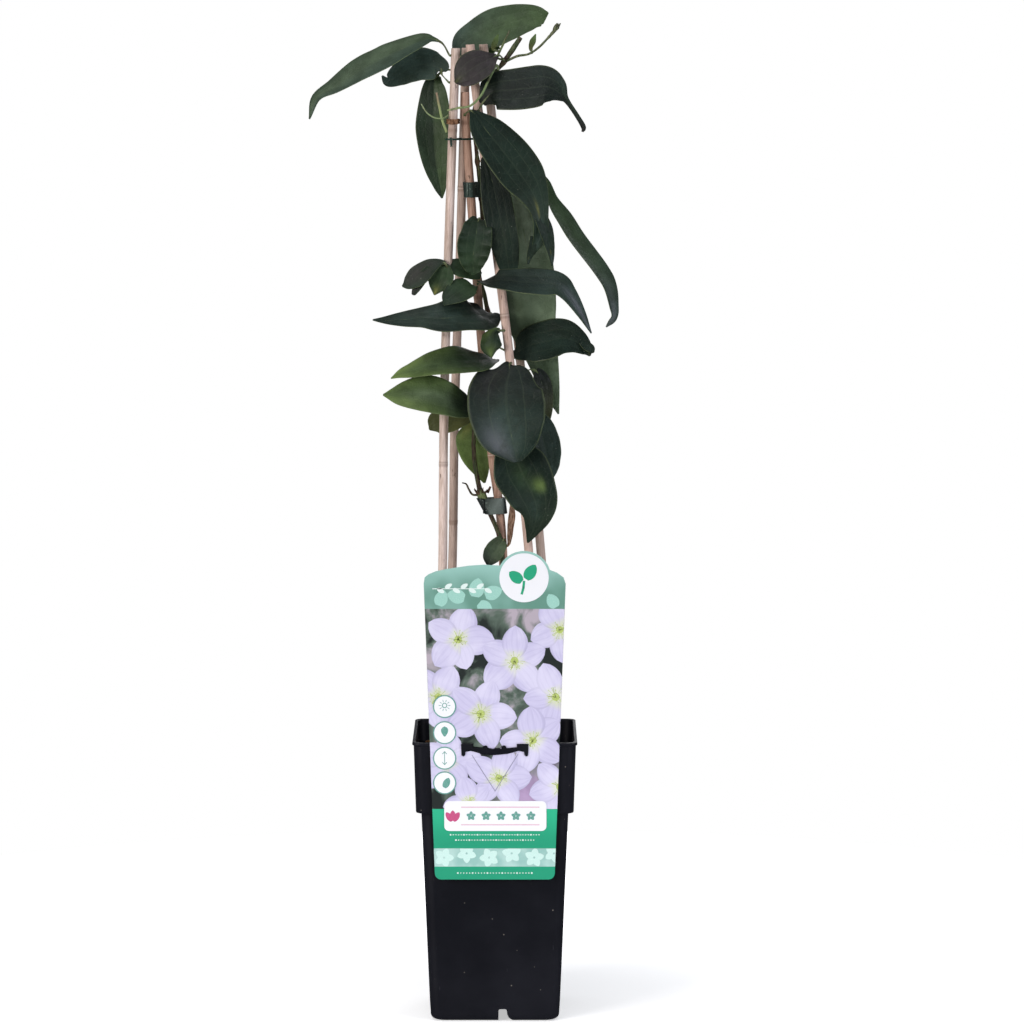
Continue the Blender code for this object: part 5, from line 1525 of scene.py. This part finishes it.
def makeBox():  # a white box with two pink lines, a row of small flowers and a sprig
    x0, x1, z0, z1 = label["box"]
    box, lines, marks, sprig = newMesh(), newMesh(), newMesh(), newMesh()
    bmesh.ops.create_grid(box, x_segments=1, y_segments=1, size=1.0)
    for vert in box.verts:
        vert.co = (x1 if vert.co.x > 0 else x0, 0, z1 if vert.co.y > 0 else z0)
    bmesh.ops.bevel(box, geom=box.verts[:], offset=label["boxCorner"], segments=6, profile=0.5,
                    affect="VERTICES", material=-1)
    for z in (z1 - 4.4, z0 + 4.4):
        strip(lines, ((x0 + 12, z), (x1 - 5, z)), 0.5)
    for k in range(5):
        for turn in range(5):
            petalShape(marks, x0 + 19 + 10.6 * k, (z0 + z1) / 2, 3.4, 1.15, 72 * turn, 0.003 * turn, 0.85)
    for k in range(3):
        petalShape(sprig, x0 + 6, z0 + 6.4, 8.4, 2.1, -34 + 34 * k, label["layer"] * k, 0.9)
    printed("label_box", box, "whitePrint", 0.42)
    printed("label_lines", lines, "pinkPrint", 0.47)
    printed("label_box_marks", marks, "tealPrint", 0.47)
    printed("label_box_sprig", sprig, "pinkSprig", 0.47)


def makeSmallPrint():  # rows of dots in place of the small words, and lines where the card is scored
    bm = newMesh()
    for z, count, gap in label["dots"]:
        for k in range(count):
            disc(bm, (k - (count - 1) / 2) * gap, z, 0.42 if k % 5 else 0.62, segments=12)
    printed("label_dots", bm, "palePrint", 0.1, 0.02)
    bm = newMesh()
    strip(bm, label["creases"], 0.45)
    printed("label_creases", bm, "creaseShade", 0.38, 0.02)


makeCard()
inks = {name: makePrint(name, *spec) for name, spec in label["inks"].items()}
inks["petalPrint"] = makePetalPrint()
for make in (makeBlossoms, makeTab, makeOrnament, makeBadges, makeBox, makeSmallPrint):
    make()
print("label made")

# floor, light and camera


def makeFloor():
    bm = newMesh()
    bmesh.ops.create_circle(bm, cap_ends=True, segments=96, radius=studio["floorRadius"])
    bmesh.ops.translate(bm, vec=(0, 0, studio["floorHeight"]), verts=bm.verts)
    floor = rawObject("floor", bm)
    skin = Finish("paleFloor", 0.9, 0.1)
    skin.shader.inputs["Emission Color"].default_value = (1, 1, 1, 1)
    away = skin.node("ShaderNodeVectorMath", operation="LENGTH")
    skin.feed(away.inputs[0], skin.place.outputs["Object"])
    glow = skin.fade(away.outputs["Value"], 0.12, 0.5, *studio["floorGlow"])
    skin.feed(skin.shader.inputs["Emission Strength"], glow)
    floor.data.materials.append(skin.done(skin.tone(studio["floor"], skin.noise(3, 2), 0.4, 0.6, "#fafafa")))
    floor.visible_glossy = False


def makeWorld():  # white behind the plant, and light that grows from the sides to overhead
    world = bpy.data.worlds.new("studio")
    bpy.context.scene.world = world
    world.use_nodes = True
    tree = world.node_tree
    tree.nodes.clear()
    link = tree.links.new
    kinds = ("OutputWorld", "MixShader", "LightPath", "Background", "Background", "TexCoord", "SeparateXYZ",
             "Mix")
    out, both, ray, seen, lit, place, split, tint = (tree.nodes.new("ShaderNode" + kind) for kind in kinds)
    link(place.outputs["Generated"], split.inputs[0])

    def risen(low, high):  # from low to high as the light comes from higher up
        made = tree.nodes.new("ShaderNodeMapRange")
        for key, value in (("From Min", 0.1), ("From Max", 0.9), ("To Min", low), ("To Max", high)):
            made.inputs[key].default_value = value
        link(split.outputs[2], made.inputs["Value"])
        return made.outputs[0]

    seen.inputs["Color"].default_value = colour(studio["backdrop"])
    tint.data_type = "RGBA"
    tint.inputs[6].default_value = colour(studio["level"])
    tint.inputs[7].default_value = colour(studio["above"])
    link(risen(0.0, 1.0), tint.inputs[0])
    link(tint.outputs[2], lit.inputs["Color"])
    link(risen(studio["levelStrength"], studio["aboveStrength"]), lit.inputs["Strength"])
    link(ray.outputs["Is Camera Ray"], both.inputs[0])
    link(lit.outputs[0], both.inputs[1])
    link(seen.outputs[0], both.inputs[2])
    link(both.outputs[0], out.inputs["Surface"])


def makeLamps():
    for name, (spot, aim, size, watts, shade) in studio["lamps"].items():
        lamp = bpy.data.lights.new(name, "AREA")
        lamp.shape, lamp.size, lamp.energy, lamp.color = "SQUARE", size, watts, colour(shade)[:3]
        obj = bpy.data.objects.new(name, lamp)
        obj.location = spot
        obj.rotation_euler = (Vector(aim) - Vector(spot)).to_track_quat("-Z", "Y").to_euler()
        obj.visible_camera = False
        bpy.context.scene.collection.objects.link(obj)


makeFloor()
makeWorld()
makeLamps()
eye = bpy.data.cameras.new("camera")
eye.sensor_width, eye.lens = view["sensor"], view["lens"]
camera = bpy.data.objects.new("camera", eye)
camera.location, camera.rotation_euler = view["place"], (view["tilt"], 0.0, 0.0)
bpy.context.scene.collection.objects.link(camera)
bpy.context.scene.camera = camera
bpy.context.scene.view_settings.view_transform = "Standard"
print("studio ready")
